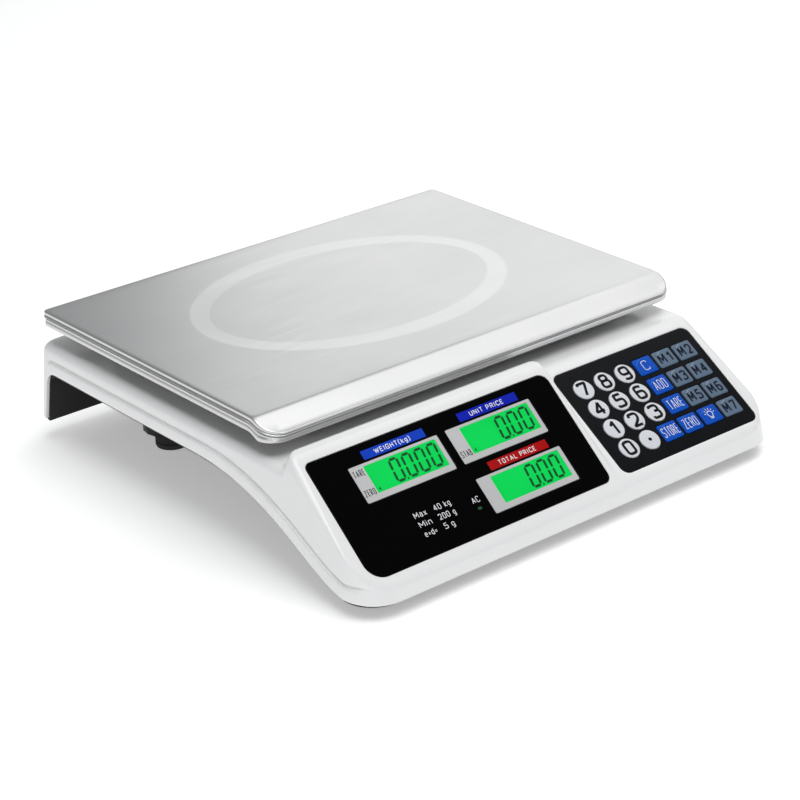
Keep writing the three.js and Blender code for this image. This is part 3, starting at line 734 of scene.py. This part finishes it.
def leaning_face(node, lean):
    """The plane of the rear window, seen by the customer: x to their right, s up, from the window's middle."""
    (x0, _, z0), (x1, y1, z1) = box_mm(node)
    c, k = math.cos(lean), math.sin(lean)
    half = (z1 - z0 - WINDOW * k) / (2 * c)
    return Plane((0, y1 - half * k, z1 - half * c), (-1, 0, 0), (0, -k, c), (x0, -half, x1, half))


BACK_LEAN = math.atan2(8.5, 55)
DISPLAY = sloping_face("display_window", 40.5)
KEYPAD = sloping_face("keypad_overlay", 33.1)
REAR = leaning_face("rear_window", BACK_LEAN)


# ---- top housing ----
CASE_LOW, CASE_HIGH = box_mm("top_housing")
HALF, FRONT, BACK = CASE_HIGH[0], CASE_LOW[1], CASE_HIGH[1]
RIDGE_TOP = CASE_HIGH[2]
DECK = 73
ARCH, FRONT_EDGE, LEG_TOP = 53, 10, 18  # heights of the lower edge: in the sides, at the front and at the back
FRONT_CORNER, BACK_CORNER = 24, 14
DRAW_IN = 3.5 / 73  # the side walls draw in towards the deck
FRONT_DRAW = 0.3
FRONT_FADE, BACK_FADE = (-150, 29.5), (158, 21.5)  # where the end walls' lean begins, and how soon it is whole
RIM_FRONT, RIM_MORE = 1.9, 4.1  # radius of the rim at the front, and how much wider it is behind
STEP = {"low": 36.5, "width": 5.5}  # the display wedge steps down to the keypad here
MELT = 3  # width over which one face of the housing runs into the next
WEDGE_BACK = -91.5
WEDGE_CORNERS = (16, 10)
SKIN = 2.4
DISPLAY_CORNERS = (5.5, 7, 4.5, 12)  # low right, high right, high left, low left


def bezier(points, t):
    while len(points) > 1:
        points = [(a[0] + (b[0] - a[0]) * t, a[1] + (b[1] - a[1]) * t) for a, b in zip(points, points[1:])]
    return points[0]


def lower_edge_points():
    sweep = [(-155, FRONT_EDGE), (-118, 16), (-88, ARCH - 1), (-10, ARCH)]
    corner = [(152, ARCH), (163, ARCH), (164, ARCH - 10)]
    curve = [bezier(sweep, i / 60) for i in range(61)] + [bezier(corner, i / 16) for i in range(17)]
    return np.array([(FRONT, FRONT_EDGE), *curve, (166.5, LEG_TOP), (BACK, LEG_TOP)])


LOWER_EDGE = lower_edge_points()


def lower_edge(y):
    return float(np.interp(y, LOWER_EDGE[:, 0], LOWER_EDGE[:, 1]))


def corner_distance(a, b, radius):
    """How far a point lies inside a rounded corner, from its distances to the two sides."""
    if a < radius and b < radius:
        return radius - math.hypot(radius - a, radius - b)
    return min(a, b)


def housing_height(x, y):
    """The height of the white housing's upper surface."""
    slope, pad = DISPLAY.height(y), KEYPAD.height(y)
    raised = smooth_min(slope, RIDGE_TOP, MELT)
    to_pad = smooth_step((x - STEP["low"] + STEP["width"]) / STEP["width"])
    base = smooth_min(slope, DECK, MELT) * (1 - to_pad) + smooth_min(pad, DECK, MELT) * to_pad
    left, right, back = x + HALF - 1, STEP["low"] - x, WEDGE_BACK - y
    depth = min(corner_distance(left, back, WEDGE_CORNERS[0]), corner_distance(right, back, WEDGE_CORNERS[1]))
    return base + (raised - base) * smooth_step(depth / STEP["width"])


def case_outline():
    """The plan outline at the table, counter-clockwise, closely spaced where the height changes quickly."""
    front = spread(-HALF + FRONT_CORNER, 28, 8) + spread(29, 39, 0.8) + spread(46, HALF - FRONT_CORNER, 8)
    side = spread(FRONT + FRONT_CORNER, -112, 3.5) + spread(-110, -86, 0.9) + spread(-81, 146, 6)
    side += spread(149, BACK - BACK_CORNER, 0.75)
    back = spread(HALF - BACK_CORNER, -HALF + BACK_CORNER, 9)
    right = []
    for i in range(1, 26):
        c, k = turn(90 * i / 26)
        right.append((HALF - FRONT_CORNER + FRONT_CORNER * k, FRONT + FRONT_CORNER - FRONT_CORNER * c, k, -c))
    right += [(HALF, y, 1, 0) for y in side]
    for degrees in (2, 4, 6, 9, 13, 19, 26, 34, 42, 50, 58, 66, 74, 82):
        c, k = turn(degrees)
        right.append((HALF - BACK_CORNER + BACK_CORNER * c, BACK - BACK_CORNER + BACK_CORNER * k, c, k))
    left = [(-x, y, -nx, ny) for x, y, nx, ny in reversed(right)]
    return [(x, FRONT, 0, -1) for x in front] + right + [(x, BACK, 0, 1) for x in back] + left


# The side wall's relief: distance above the lower edge, and how far it stands out there.
LIP = [
    (0, -0.5), (0.5, 0.1), (1.4, 0.5), (3.2, 0.8), (6, 0.8), (8, 0.7), (8.8, 0.4), (9.2, -0.3), (9.5, -1.3),
    (10.3, -1.4), (10.7, -0.9), (11.2, -0.4), (12, -0.1), (13, 0),
]


def wall_point(column, z, out=0.0):
    """Where a column of the wall stands at a height; out moves it square to the plan outline."""
    x, y, nx, ny = column
    x *= 1 - DRAW_IN * z / HALF
    y += FRONT_DRAW * max(z - FRONT_EDGE, 0) * share((FRONT_FADE[0] - y) / FRONT_FADE[1])
    y -= math.tan(BACK_LEAN) * max(z - LEG_TOP, 0) * share((y - BACK_FADE[0]) / BACK_FADE[1])
    return x + nx * out, y + ny * out


def wall_column(column):
    """One column of the housing's wall, from the lower edge over the rounded rim, as points."""
    y = column[1]
    low = lower_edge(y)
    steep = min(math.hypot(1, lower_edge(y + 0.5) - lower_edge(y - 0.5)), 1.6)
    radius = RIM_FRONT + RIM_MORE * smooth_step((y + 165) / 75)
    crown = DECK
    for _ in range(12):
        crown = housing_height(*wall_point(column, crown))
    top = crown - radius
    fade = smooth_step((y + 174) / 8) * smooth_step((163 - y) / 5)
    squeeze = min(steep, 0.85 * (top - low) / LIP[-1][0])
    points = []
    for above, out in LIP:
        z = low + above * squeeze
        points.append((*wall_point(column, z, out * fade), z))
    start = low + LIP[-1][0] * squeeze
    for i in range(1, 4):
        z = start + (top - start) * i / 4
        points.append((*wall_point(column, z), z))
    for i in range(8):
        angle = math.pi / 2 * i / 7
        drop = radius * (1 - math.sin(angle))
        x, y = wall_point(column, crown - drop, -radius * (1 - math.cos(angle)))
        points.append((x, y, housing_height(x, y) - drop))
    return [Vector(p) for p in points]


def window_pocket(shape, plane, radii):
    """The rounded edge, the pocket and the ledge that hold a window; gives the ring at the surface."""
    edge = outline(*widened(plane.window, GAP), radii, arc=14, step=6)
    levels = [(0, 0.7), (-0.05, 0.35), (-0.25, 0.1), (-0.7, 0), (-1.8, 0), (-1.8, -2.5)]
    rings = shape.rings(plane, edge, levels)
    shape.skin(rings)
    return rings[0], shape.flat(rings[0])


def deck_hole(shape, x, y, radius):
    circle = outline(x - radius, y - radius, x + radius, y + radius, [radius - 0.01] * 4, arc=6)
    rings = shape.rings(TABLE, circle, [(DECK, 0.8), (DECK - 0.25, 0.2), (DECK - 0.9, 0)])
    shape.skin(rings)
    return rings[0], shape.flat(rings[0])


def make_top_housing():
    shape = Shape()
    rim = shape.wall([wall_column(c) for c in case_outline()])[-1]
    holes = [window_pocket(shape, DISPLAY, DISPLAY_CORNERS), window_pocket(shape, KEYPAD, [6] * 4)]
    level_low, level_high = box_mm("bubble_level")
    level = [(level_low[k] + level_high[k]) / 2 for k in (0, 1)]
    holes.append(deck_hole(shape, *level, (level_high[0] - level_low[0]) / 2 - 1.2))
    holes += [deck_hole(shape, x, y, 9) for x in (-80, 80) for y in (-12, 108)]
    crest = spread(-108, -86, 0.8)
    points = lattice(spread(-172, 172, 5), spread(FRONT, -108, 5) + crest + spread(-80, BACK, 7))
    points += lattice(spread(-172, -150, 0.9), crest) + lattice(spread(14, 40, 0.9), crest)
    points += lattice(spread(29.5, 38, 0.7), spread(FRONT, -108, 3))

    def surface(x, y):
        return Vector((x, y, housing_height(x, y)))

    fill(shape, (rim, shape.flat(rim)), holes, sorted(set(points)), surface, clear=0.6)
    piece = build("top_housing_shell", shape, "chassis", "white_abs", ["top_housing"], 40, outward=False)
    solid = piece.modifiers.new("skin", "SOLIDIFY")
    solid.thickness = SKIN * MM
    solid.offset = -1
    bake(piece)
    cut_rear_window(piece)
    smooth(piece.data, 40)


def cut_rear_window(piece):
    """Sinks the rear window's pocket and the hole behind it into the housing's back wall."""
    wide, high = REAR.window[2] + GAP, REAR.window[3] + GAP
    for inset, depth in ((0, 1.8), (2.5, 12)):
        edge = outline(-wide + inset, -high + inset, wide - inset, high - inset, [4 - inset / 2] * 4, arc=6)
        shape = Shape()
        shape.stack(REAR, edge, [(-depth, 0), (8, 0)])
        tool = build("tool", shape, "chassis", "white_abs")
        cut = piece.modifiers.new("window", "BOOLEAN")
        cut.object = tool
        cut.operation = "DIFFERENCE"
        bake(piece)
        bpy.data.objects.remove(tool)


make_top_housing()

# ---- platter ----
PAN_LOW, PAN_HIGH = box_mm("platter")
PAN = {
    "half": PAN_HIGH[0], "front": PAN_LOW[1], "back": PAN_HIGH[1], "top": PAN_HIGH[2],
    "fold": -70, "sheet": 1.2, "front_flange": PAN_LOW[2], "side_flange": PAN_LOW[2] + 3.5,
}
BAND_SLOPE = 7.4 / 15
OVAL_DEPTH = 0.03
# The flange's section: share of its height below the fold, and how far it stands out there.
FLANGE = [
    (0.0, -1.5), (0.006, -1.0), (0.03, -0.45), (0.06, -0.2), (0.12, -0.2), (0.22, -0.2), (0.235, -1.3),
    (0.27, -1.3), (0.29, -0.6), (0.33, 0.0), (0.37, 0.2), (0.41, 0.0), (0.45, -0.6), (0.47, -1.3), (0.51, -1.3),
    (0.525, -0.5), (0.70, -0.5), (0.72, -0.3), (0.97, -0.3), (1.0, -0.5), (1.0, -2.0), (0.97, -2.6),
    (0.22, -2.9),
]


def pan_height(x, y):
    """The platter's upper surface: flat, with a front band that slopes down and a faint oval recess."""
    flat = smooth_min(PAN["top"], PAN["top"] + (y - PAN["fold"]) * BAND_SLOPE, 1.1)
    u, v = x - OVAL["centre"][0], y - OVAL["centre"][1]
    outer = (1 - math.hypot(u / OVAL["outer"][0], v / OVAL["outer"][1])) * 100
    inner = (math.hypot(u / OVAL["inner"][0], v / OVAL["inner"][1]) - 1) * 88
    return flat - OVAL_DEPTH * smooth_step(outer / 4.5) * smooth_step(inner / 4.5)


def pan_column(column):
    x, y, nx, ny = column
    edge = pan_height(x - nx * 1.5, y - ny * 1.5)
    front = smooth_step((PAN["fold"] + 5 - y) / 10)
    bottom = PAN["side_flange"] + (PAN["front_flange"] - PAN["side_flange"]) * front
    return [Vector((x + nx * out, y + ny * out, edge + (bottom - edge) * share)) for share, out in FLANGE]


def make_platter():
    shape = Shape()
    edge = outline(-PAN["half"], PAN["front"], PAN["half"], PAN["back"], [14, 4, 4, 14], arc=12, step=2.5)
    rows = shape.wall([pan_column(c) for c in edge])
    ovals = []
    for (half_x, half_y), growth in ((OVAL["outer"], -1), (OVAL["inner"], 1)):
        for distance in (-0.2, 0.6, 1.2, 1.8, 2.6):
            u, v = half_x + growth * distance, half_y + growth * distance
            for i in range(160):
                a = 2 * math.pi * i / 160
                ovals.append((u * math.cos(a), OVAL["centre"][1] + v * math.sin(a)))
    fold = [PAN["fold"] + d for d in (-2, -1.2, -0.6, 0, 0.6, 1.2, 2)]
    above = lattice(spread(-166, 166, 8), spread(PAN["front"], -74, 4) + fold + spread(-62, PAN["back"], 8))
    below = lattice(spread(-160, 160, 20), [-76, -72, *fold, *spread(-62, 150, 20)])
    for row, points, sunk in ((rows[0], above + ovals, 0), (rows[-1], below, PAN["sheet"])):
        border = (row, shape.flat(row))
        fill(shape, border, [], points, lambda x, y, sunk=sunk: Vector((x, y, pan_height(x, y) - sunk)))
    build("platter_pan", shape, "platter", "steel_sheet", replaces=["platter"], sharp=50)


make_platter()
refined("platter_tray", "tray_plastic", 1.2, 3)


# ---- windows, screens and print ----
# The middle of each bar of a seven segment zero, as shares of the digit's width and height.
SEGMENTS = {"a": (0.5, 1), "b": (1, 0.75), "c": (1, 0.25), "d": (0.5, 0), "e": (0, 0.25), "f": (0, 0.75)}
BAR, BAR_GAP, SLANT = 1.75, 0.25, 0.1
SCREEN_BACK, SCREEN_FACE = -4.9, -0.35  # heights of a screen's frame on the plane of its window
SCREEN_HEIGHT, SCREEN_SINK = 24.8, 2.1
SCREEN_VIEW = (10.4, 4.1, 3.0, 1.9)  # widths of a front screen's frame: left, low, right and high
SCREENS = {
    "lcd_weight": (4, 0.6, [("TARE", 19.6), ("ZERO", 6.2)], ("weight_bar", "blue_ink", "WEIGHT(kg)")),
    "lcd_unit_price": (3, 1.2, [("STAB", 6.2)], ("unit_price_bar", "deep_blue_ink", "UNIT PRICE")),
    "lcd_total_price": (3, 2.0, [], ("total_price_bar", "red_ink", "TOTAL PRICE")),
}  # digits, clear space right of them, words with their heights, and the coloured bar above


def segment(width, height, name):
    """The corners of one bar of a seven segment zero, leaning to the right."""
    ux, uy = SEGMENTS[name]
    cx, cy = ux * (width - BAR) + BAR / 2, uy * (height - BAR) + BAR / 2
    if name in "ad":
        reach = (width - BAR) / 2 - BAR_GAP
        corners = [(-reach, 0), (-reach + BAR / 2, -BAR / 2), (reach - BAR / 2, -BAR / 2)]
    else:
        reach = (height - BAR) / 4 - BAR_GAP
        corners = [(0, -reach), (BAR / 2, -reach + BAR / 2), (BAR / 2, reach - BAR / 2)]
    corners = [*corners, *[(-x, -y) for x, y in corners]]
    return [(cx + x + (cy + y) * SLANT, cy + y) for x, y in corners]


def make_digits(name, plane, right, low, count, pitch, height):
    """Zeros with a decimal point after the first, right aligned, as thin raised bars."""
    shape = Shape()
    width, level = pitch - 2.2, SCREEN_FACE - 0.38
    for i in range(count):
        left = right - (count - i) * pitch
        for bar in SEGMENTS:
            corners = [(left + x, low + s) for x, s in segment(width, height, bar)]
            shape.prism(plane, corners, level, level + INK)
    dot = right - count * pitch + width + 0.3
    corners = [(dot, low), (dot + 1.1, low), (dot + 1.25, low + 1.2), (dot + 0.15, low + 1.2)]
    shape.prism(plane, corners, level, level + INK)
    build(name, shape, "chassis", "lcd_ink")


def make_screen(name, node, plane, place, view, count, clear, digit_size):
    """One display module: silver frame, lit glass and digits.

    place is its left, low, right and high edge, view the widths of its frame in that order, clear the space
    right of the digits and under them, digit_size their pitch and height.
    """
    left, low, right, high = place
    lit = (left + view[0], low + view[1], right - view[2], high - view[3])
    edge = outline(*place, [1.0] * 4, arc=4)
    shape = plate(plane, edge, [outline(*lit, [0.7] * 4, arc=4)], SCREEN_BACK, SCREEN_FACE, 0.25)
    build(name + "_frame", shape, "chassis", "lcd_frame", [node], sharp=15)
    glass = Shape()
    edge = outline(*widened(lit, 0.4), [0.6] * 4, arc=4)
    glass.stack(plane, edge, [(-4.6, 0), (SCREEN_FACE - 0.5, 0), (SCREEN_FACE - 0.4, -0.1)])
    build(name + "_glass", glass, "chassis", "lcd_glass")
    make_digits(name + "_digits", plane, lit[2] - clear[0], lit[1] + clear[1], count, *digit_size)


def make_window(node, plane, radii, screens):
    """The glossy black window with an opening over each screen."""
    holes = [outline(*widened(place, GAP), [1.2] * 4, arc=4) for place in screens]
    shape = plate(plane, outline(*plane.window, radii), holes, -WINDOW, 0, 0.3)
    build(node + "_panel", shape, "chassis", "black_panel", replaces=[node], sharp=15)


def screen_legend(node, left, low, words):
    """The arrow on the lit glass and the words on the frame of a front screen."""
    x, s, level = left + 12, low + 6.4, SCREEN_FACE - 0.38
    mark = Shape()
    mark.prism(DISPLAY, [(x, s), (x + 2, s - 1.2), (x + 1.6, s), (x + 2, s + 1.2)], level, level + INK)
    build(node + "_arrow", mark, "chassis", "lcd_ink")
    items = [(text, left + 5.2, low + up, 4.4, 8.2, 0.5) for text, up in words]
    lettering(node + "_legend", DISPLAY, items, "chassis", "grey_ink", SCREEN_FACE)


def colour_bar(name, left, low, look, text):
    width, height = 48, 6
    shape = Shape()
    shape.stack(DISPLAY, outline(left, low, left + width, low + height, [0.3] * 4, arc=2), [(0, 0), (INK, 0)])
    build(name, shape, "chassis", look)
    items = [(text, left + width / 2 - 1, low + height / 2, 3.3, len(text) * 2.75, 0.5)]
    lettering(name + "_text", DISPLAY, items, "chassis", "white_ink", INK)


def screen_place(node):
    """A front screen's edges on the display's plane, read from the frame's box."""
    (x0, _, _), (x1, _, z1) = box_mm(node)
    high = (z1 - DISPLAY.origin.z + SCREEN_SINK * DISPLAY.up.y) / DISPLAY.up.z
    return x0, high - SCREEN_HEIGHT, x1, high


def make_display():
    places = {node: screen_place(node) for node in SCREENS}
    make_window("display_window", DISPLAY, [r - GAP for r in DISPLAY_CORNERS], places.values())
    for node, (count, clear, words, _) in SCREENS.items():
        make_screen(node, node, DISPLAY, places[node], SCREEN_VIEW, count, (clear, 1.3), (9.8, 16.2))
        if words:
            screen_legend(node, *places[node][:2], words)
    for node, (*_, (name, look, text)) in SCREENS.items():
        colour_bar(name, places[node][0] + 13.6, places[node][3] + 1.3, look, text)
    (x0, _, _), (x1, _, _) = box_mm("ac_led")
    lamp_x = (x0 + x1) / 2
    items = []
    for words, number, s in (("Max", "40 kg", 27.4), ("Min", "200 g", 21.0), ("e=d=", "5 g", 14.6)):
        length = len(number) * 2.55
        items += [(words, -109.5, s, 3.9, 9.4, 0.45), (number, -99 + length / 2, s, 3.9, length, 0.45)]
    items.append(("AC", lamp_x + 0.3, 22.4, 4.0, 5.6, 0.42))
    lettering("display_print", DISPLAY, items, "chassis", "white_ink")
    lamp = Shape()
    face = Plane(DISPLAY.at(lamp_x, 16.5), DISPLAY.across, DISPLAY.up)
    edge = outline(-1.6, -0.9, 1.6, 0.9, [0.88] * 4, arc=6)
    lamp.stack(face, edge, [(-0.3, 0), (0.05, 0), (0.22, -0.15), (0.32, -0.45)])
    build("ac_led_lens", lamp, "chassis", "led_lens", replaces=["ac_led"])


def make_rear_display():
    titles = {-50: ("TOTAL PRICE", 3), 0: ("UNIT PRICE", 3), 50: ("WEIGHT(kg)", 4)}
    places = [(x - 23, -10, x + 23, 10) for x in titles]
    make_window("rear_window", REAR, [3.7] * 4, places)
    for i, (place, (_, count)) in enumerate(zip(places, titles.values()), 1):
        make_screen(f"rear_display_{i}", "rear_display", REAR, place, [2] * 4, count, (2, 1.4), (8.4, 13))
    items = [(text, x, 13.3, 2.7, len(text) * 2.3, 0.4) for x, (text, _) in titles.items()]
    lettering("rear_print", REAR, items, "chassis", "white_ink")


make_display()
make_rear_display()


# ---- keypad ----
KEYS = {
    "digits": [f"key_{i}" for i in range(10)] + ["key_point"],
    "words": {"key_store": "STORE", "key_clear": "C", "key_add": "ADD", "key_tare": "TARE", "key_zero": "ZERO"},
    "memories": [f"key_m{i}" for i in range(1, 8)],
}
KEY_TOP, KEY_LOW, KEY_FLANGE_TOP = 0.6, -3, -1.8
KEY_ROUND = 7.3
KEY_SIZE = (15.9, 12.8)
KEY_CLEAR = 0.35  # space between a key and the edge of its hole in the film
WORD_LENGTH = {1: 4.8, 3: 10.4, 4: 12.0, 5: 13.6}  # by the number of letters


def key_place(node):
    """The middle of a key on the keypad's plane, from its box: the box is symmetric about the key's axis."""
    low, high = box_mm(node)
    middle = (Vector(low) + Vector(high)) / 2 - KEYPAD.origin
    return middle.dot(KEYPAD.across), middle.dot(KEYPAD.up)


def key_cap(node, look, half_x, half_y, corner, arc):
    """The cap with its hidden flange and a softly rounded top edge; gives the face it stands on."""
    face = Plane(KEYPAD.at(*key_place(node)), KEYPAD.across, KEYPAD.up)
    levels = [(KEY_LOW, 0.6), (KEY_FLANGE_TOP, 0.6), (KEY_FLANGE_TOP, 0)]
    levels += [(KEY_TOP - d, g) for d, g in ((0.5, 0), (0.3, -0.05), (0.12, -0.22), (0.03, -0.5), (0, -0.95))]
    shape = Shape()
    shape.stack(face, outline(-half_x, -half_y, half_x, half_y, [corner] * 4, arc), levels)
    build(node + "_cap", shape, node, look, replaces=[node], sharp=50)
    return face


def key_hole(node, half_x, half_y, corner, arc):
    """The outline of a key's hole in the film."""
    x, s = key_place(node)
    return outline(x - half_x, s - half_y, x + half_x, s + half_y, [corner] * 4, arc)


def key_painted_highlight(node, face, look):
    """A thin raised stroke along the upper left of a key's top, coloured lighter than the key: a painted
    highlight.
    """
    shape = Shape()
    path = [(6.6 * c, 5.3 * k) for c, k in map(turn, range(100, 160, 6))]
    add_stroke(shape, face, path, False, 0.3, KEY_TOP)
    build(node + "_arc", shape, node, look)


def round_key(node):
    r = KEY_ROUND
    face = key_cap(node, "key_white", r, r, r - 0.001, 12)
    text = node[4:]
    legend = Shape()
    if text == "point":
        dot = [(1.3 * c, 1.3 * k) for c, k in map(turn, range(0, 360, 15))]
        legend.prism(face, dot, KEY_TOP, KEY_TOP + INK)
    else:
        add_text(legend, face, text, 0, 0, 11.2, 8.3 if text != "1" else 5.4, 2.0, KEY_TOP)
    build(node + "_legend", legend, node, "black_ink")
    r += KEY_CLEAR
    return key_hole(node, r, r, r - 0.001, 10)


def square_key(node):
    half_x, half_y = KEY_SIZE[0] / 2, KEY_SIZE[1] / 2
    memory = node in KEYS["memories"]
    look = "key_slate" if memory else "key_blue"
    face = key_cap(node, look, half_x, half_y, 1.3, 5)
    if node == "key_light":
        lamp_symbol(node, face)
    else:
        text = node[4:].upper() if memory else KEYS["words"][node]
        item = (text, 0, -0.2, 8.0, 11.6, 1.3) if memory else (text, 0, 0, 7.4, WORD_LENGTH[len(text)], 0.44)
        lettering(node + "_legend", face, [item], node, "navy_ink" if memory else "white_ink", KEY_TOP)
    # The arc is a painted highlight: a lighter stroke where the key's top catches the light.
    key_painted_highlight(node, face, "slate_painted_highlight" if memory else "blue_painted_highlight")
    return key_hole(node, half_x + KEY_CLEAR, half_y + KEY_CLEAR, 1.6, 4)


def make_keypad():
    holes = [round_key(node) for node in KEYS["digits"]]
    holes += [square_key(node) for node in [*KEYS["words"], "key_light", *KEYS["memories"]]]
    shape = plate(KEYPAD, outline(*KEYPAD.window, [5.7] * 4), holes, -WINDOW, 0, 0.3)
    build("keypad_film", shape, "chassis", "keypad_film", ["keypad_overlay"], sharp=15)


def lamp_symbol(node, face):
    """A plain light bulb with rays."""
    shape = Shape()
    bulb = [(2.1 * c, 0.3 + 2.1 * k) for c, k in map(turn, range(-50, 231, 20))]
    add_stroke(shape, face, [(0.9, -3.2), *bulb, (-0.9, -3.2)], True, 0.5, KEY_TOP)
    add_stroke(shape, face, [(-0.9, -2.2), (0.9, -2.2)], False, 0.4, KEY_TOP)
    for c, k in map(turn, range(10, 171, 32)):
        add_stroke(shape, face, [(3.1 * c, 0.4 + 3.1 * k), (4.4 * c, 0.4 + 4.4 * k)], False, 0.45, KEY_TOP)
    build(node + "_legend", shape, node, "white_ink")


make_keypad()


# ---- feet and the pieces under and inside ----
# A foot's edge from below: distance in from its radius, and height.
PAD_EDGE = [
    (5, 0.6), (4.6, 0), (1.6, 0), (0.5, 0.4), (0, 1.5), (0, 4), (0.5, 4.4), (0.5, 5), (0, 5.4), (0, 11),
    (0.6, 12.2), (2, 12.9),
]
INNER = [
    ("battery_door", "black_abs", 0.4), ("switch_bezel", "black_abs", 0.5), ("power_rocker", "black_abs", 0.5),
    ("ac_inlet", "black_abs", 0.4), ("support_spider", "cast_aluminium", 1.0),
    ("load_cell", "cell_aluminium", 0.5), ("load_cell_base", "cast_aluminium", 0.6),
    ("cell_screws", "zinc_steel", 0.4), ("spider_screws", "zinc_steel", 0.4),
    *[(f"overload_stop_{i}", "zinc_steel", 0.4) for i in (1, 2, 3, 4)],
    ("display_board", "circuit_board", 0.2), ("keypad_board", "circuit_board", 0.2),
    ("main_board", "circuit_board", 0.3), ("battery", "battery_case", 0.8),
    ("transformer", "transformer_core", 0.6), ("bubble_level", "level_glass", 0.3),
]


def make_foot(node):
    low, high = box_mm(node)
    centre = [(low[k] + high[k]) / 2 for k in (0, 1)]
    radius, top = (high[0] - low[0]) / 2, high[2]
    pad = [(0, 0.6), *[(radius - in_by, h) for in_by, h in PAD_EDGE], (4.6, 12.9), (0, 12.9)]

    def knurl(a, r, h):
        return -0.25 if r > radius - 0.1 and 5 < h < 11.5 and math.cos(a * 30) > 0.3 else 0

    build(node + "_pad", turned(pad, centre, 120, knurl), node, "foot_rubber", replaces=[node], sharp=40)
    thread = [(0, 12.95), (2.9, 12.95)]
    for i in range(9):
        h = 13.3 + i * 1.35
        thread += [(2.95, h), (2.6, h + 0.6), (2.6, h + 0.75)]
    thread += [(2.9, top - 0.4), (2.4, top), (0, top)]
    build(node + "_stud", turned(thread, centre, 32), node, "zinc_steel", sharp=25)


for foot in ("foot_front_left", "foot_front_right", "foot_rear_left", "foot_rear_right"):
    make_foot(foot)
refined("bottom_housing", "black_abs", 0.5, 2, 25)
for node, look, width in INNER:
    refined(node, look, width)


# ---- floor and light, in metres and watts ----
FLOOR = 9
LIGHTS = {  # place, what it faces, width and height, power
    "overhead": ((-0.1, -0.5, 2.2), (0, 0, 0), (1.8, 1.6), 26),
    "front_left": ((-2.0, -1.5, 1.1), (0, 0, 0.05), (1.2, 1.2), 6),
    "back_right": ((2.05, 1.55, 1.12), (0, 0, 0.1), (2.15, 1.14), 8.5),
    "high_right": ((1.14, 0.2, 1.63), (0, 0, 0.1), (1.2, 1.2), 5),
}


def make_stage():
    mesh = bpy.data.meshes.new("floor")
    corners = [(-FLOOR, -FLOOR, 0), (FLOOR, -FLOOR, 0), (FLOOR, FLOOR, 0), (-FLOOR, FLOOR, 0)]
    mesh.from_pydata(corners, [], [(0, 1, 2, 3)])
    n = Nodes("floor")
    n.set(
        Base_Color=n.mix(n.noise(3, 2), (0.90, 0.90, 0.90), (0.92, 0.92, 0.92)),
        Roughness=0.8,
        Specular_IOR_Level=0.1,
        Emission_Color=(1, 1, 1, 1),
        Emission_Strength=0.35,
    )
    mesh.materials.append(n.material)
    add_object("floor", mesh)


def make_light():
    world = bpy.data.worlds.new("studio")
    world.use_nodes = True
    sky = world.node_tree.nodes["Background"].inputs
    sky["Color"].default_value = (0.96, 0.98, 1, 1)
    sky["Strength"].default_value = 0.3
    bpy.context.scene.world = world
    for name, (place, target, size, power) in LIGHTS.items():
        data = bpy.data.lights.new(name, "AREA")
        data.shape = "RECTANGLE"
        data.size, data.size_y = size
        data.energy = power
        light = add_object(name, data)
        light.location = place
        light.rotation_euler = (Vector(target) - Vector(place)).to_track_quat("-Z", "Y").to_euler()
    bpy.context.scene.view_settings.view_transform = "Standard"


make_stage()
make_light()
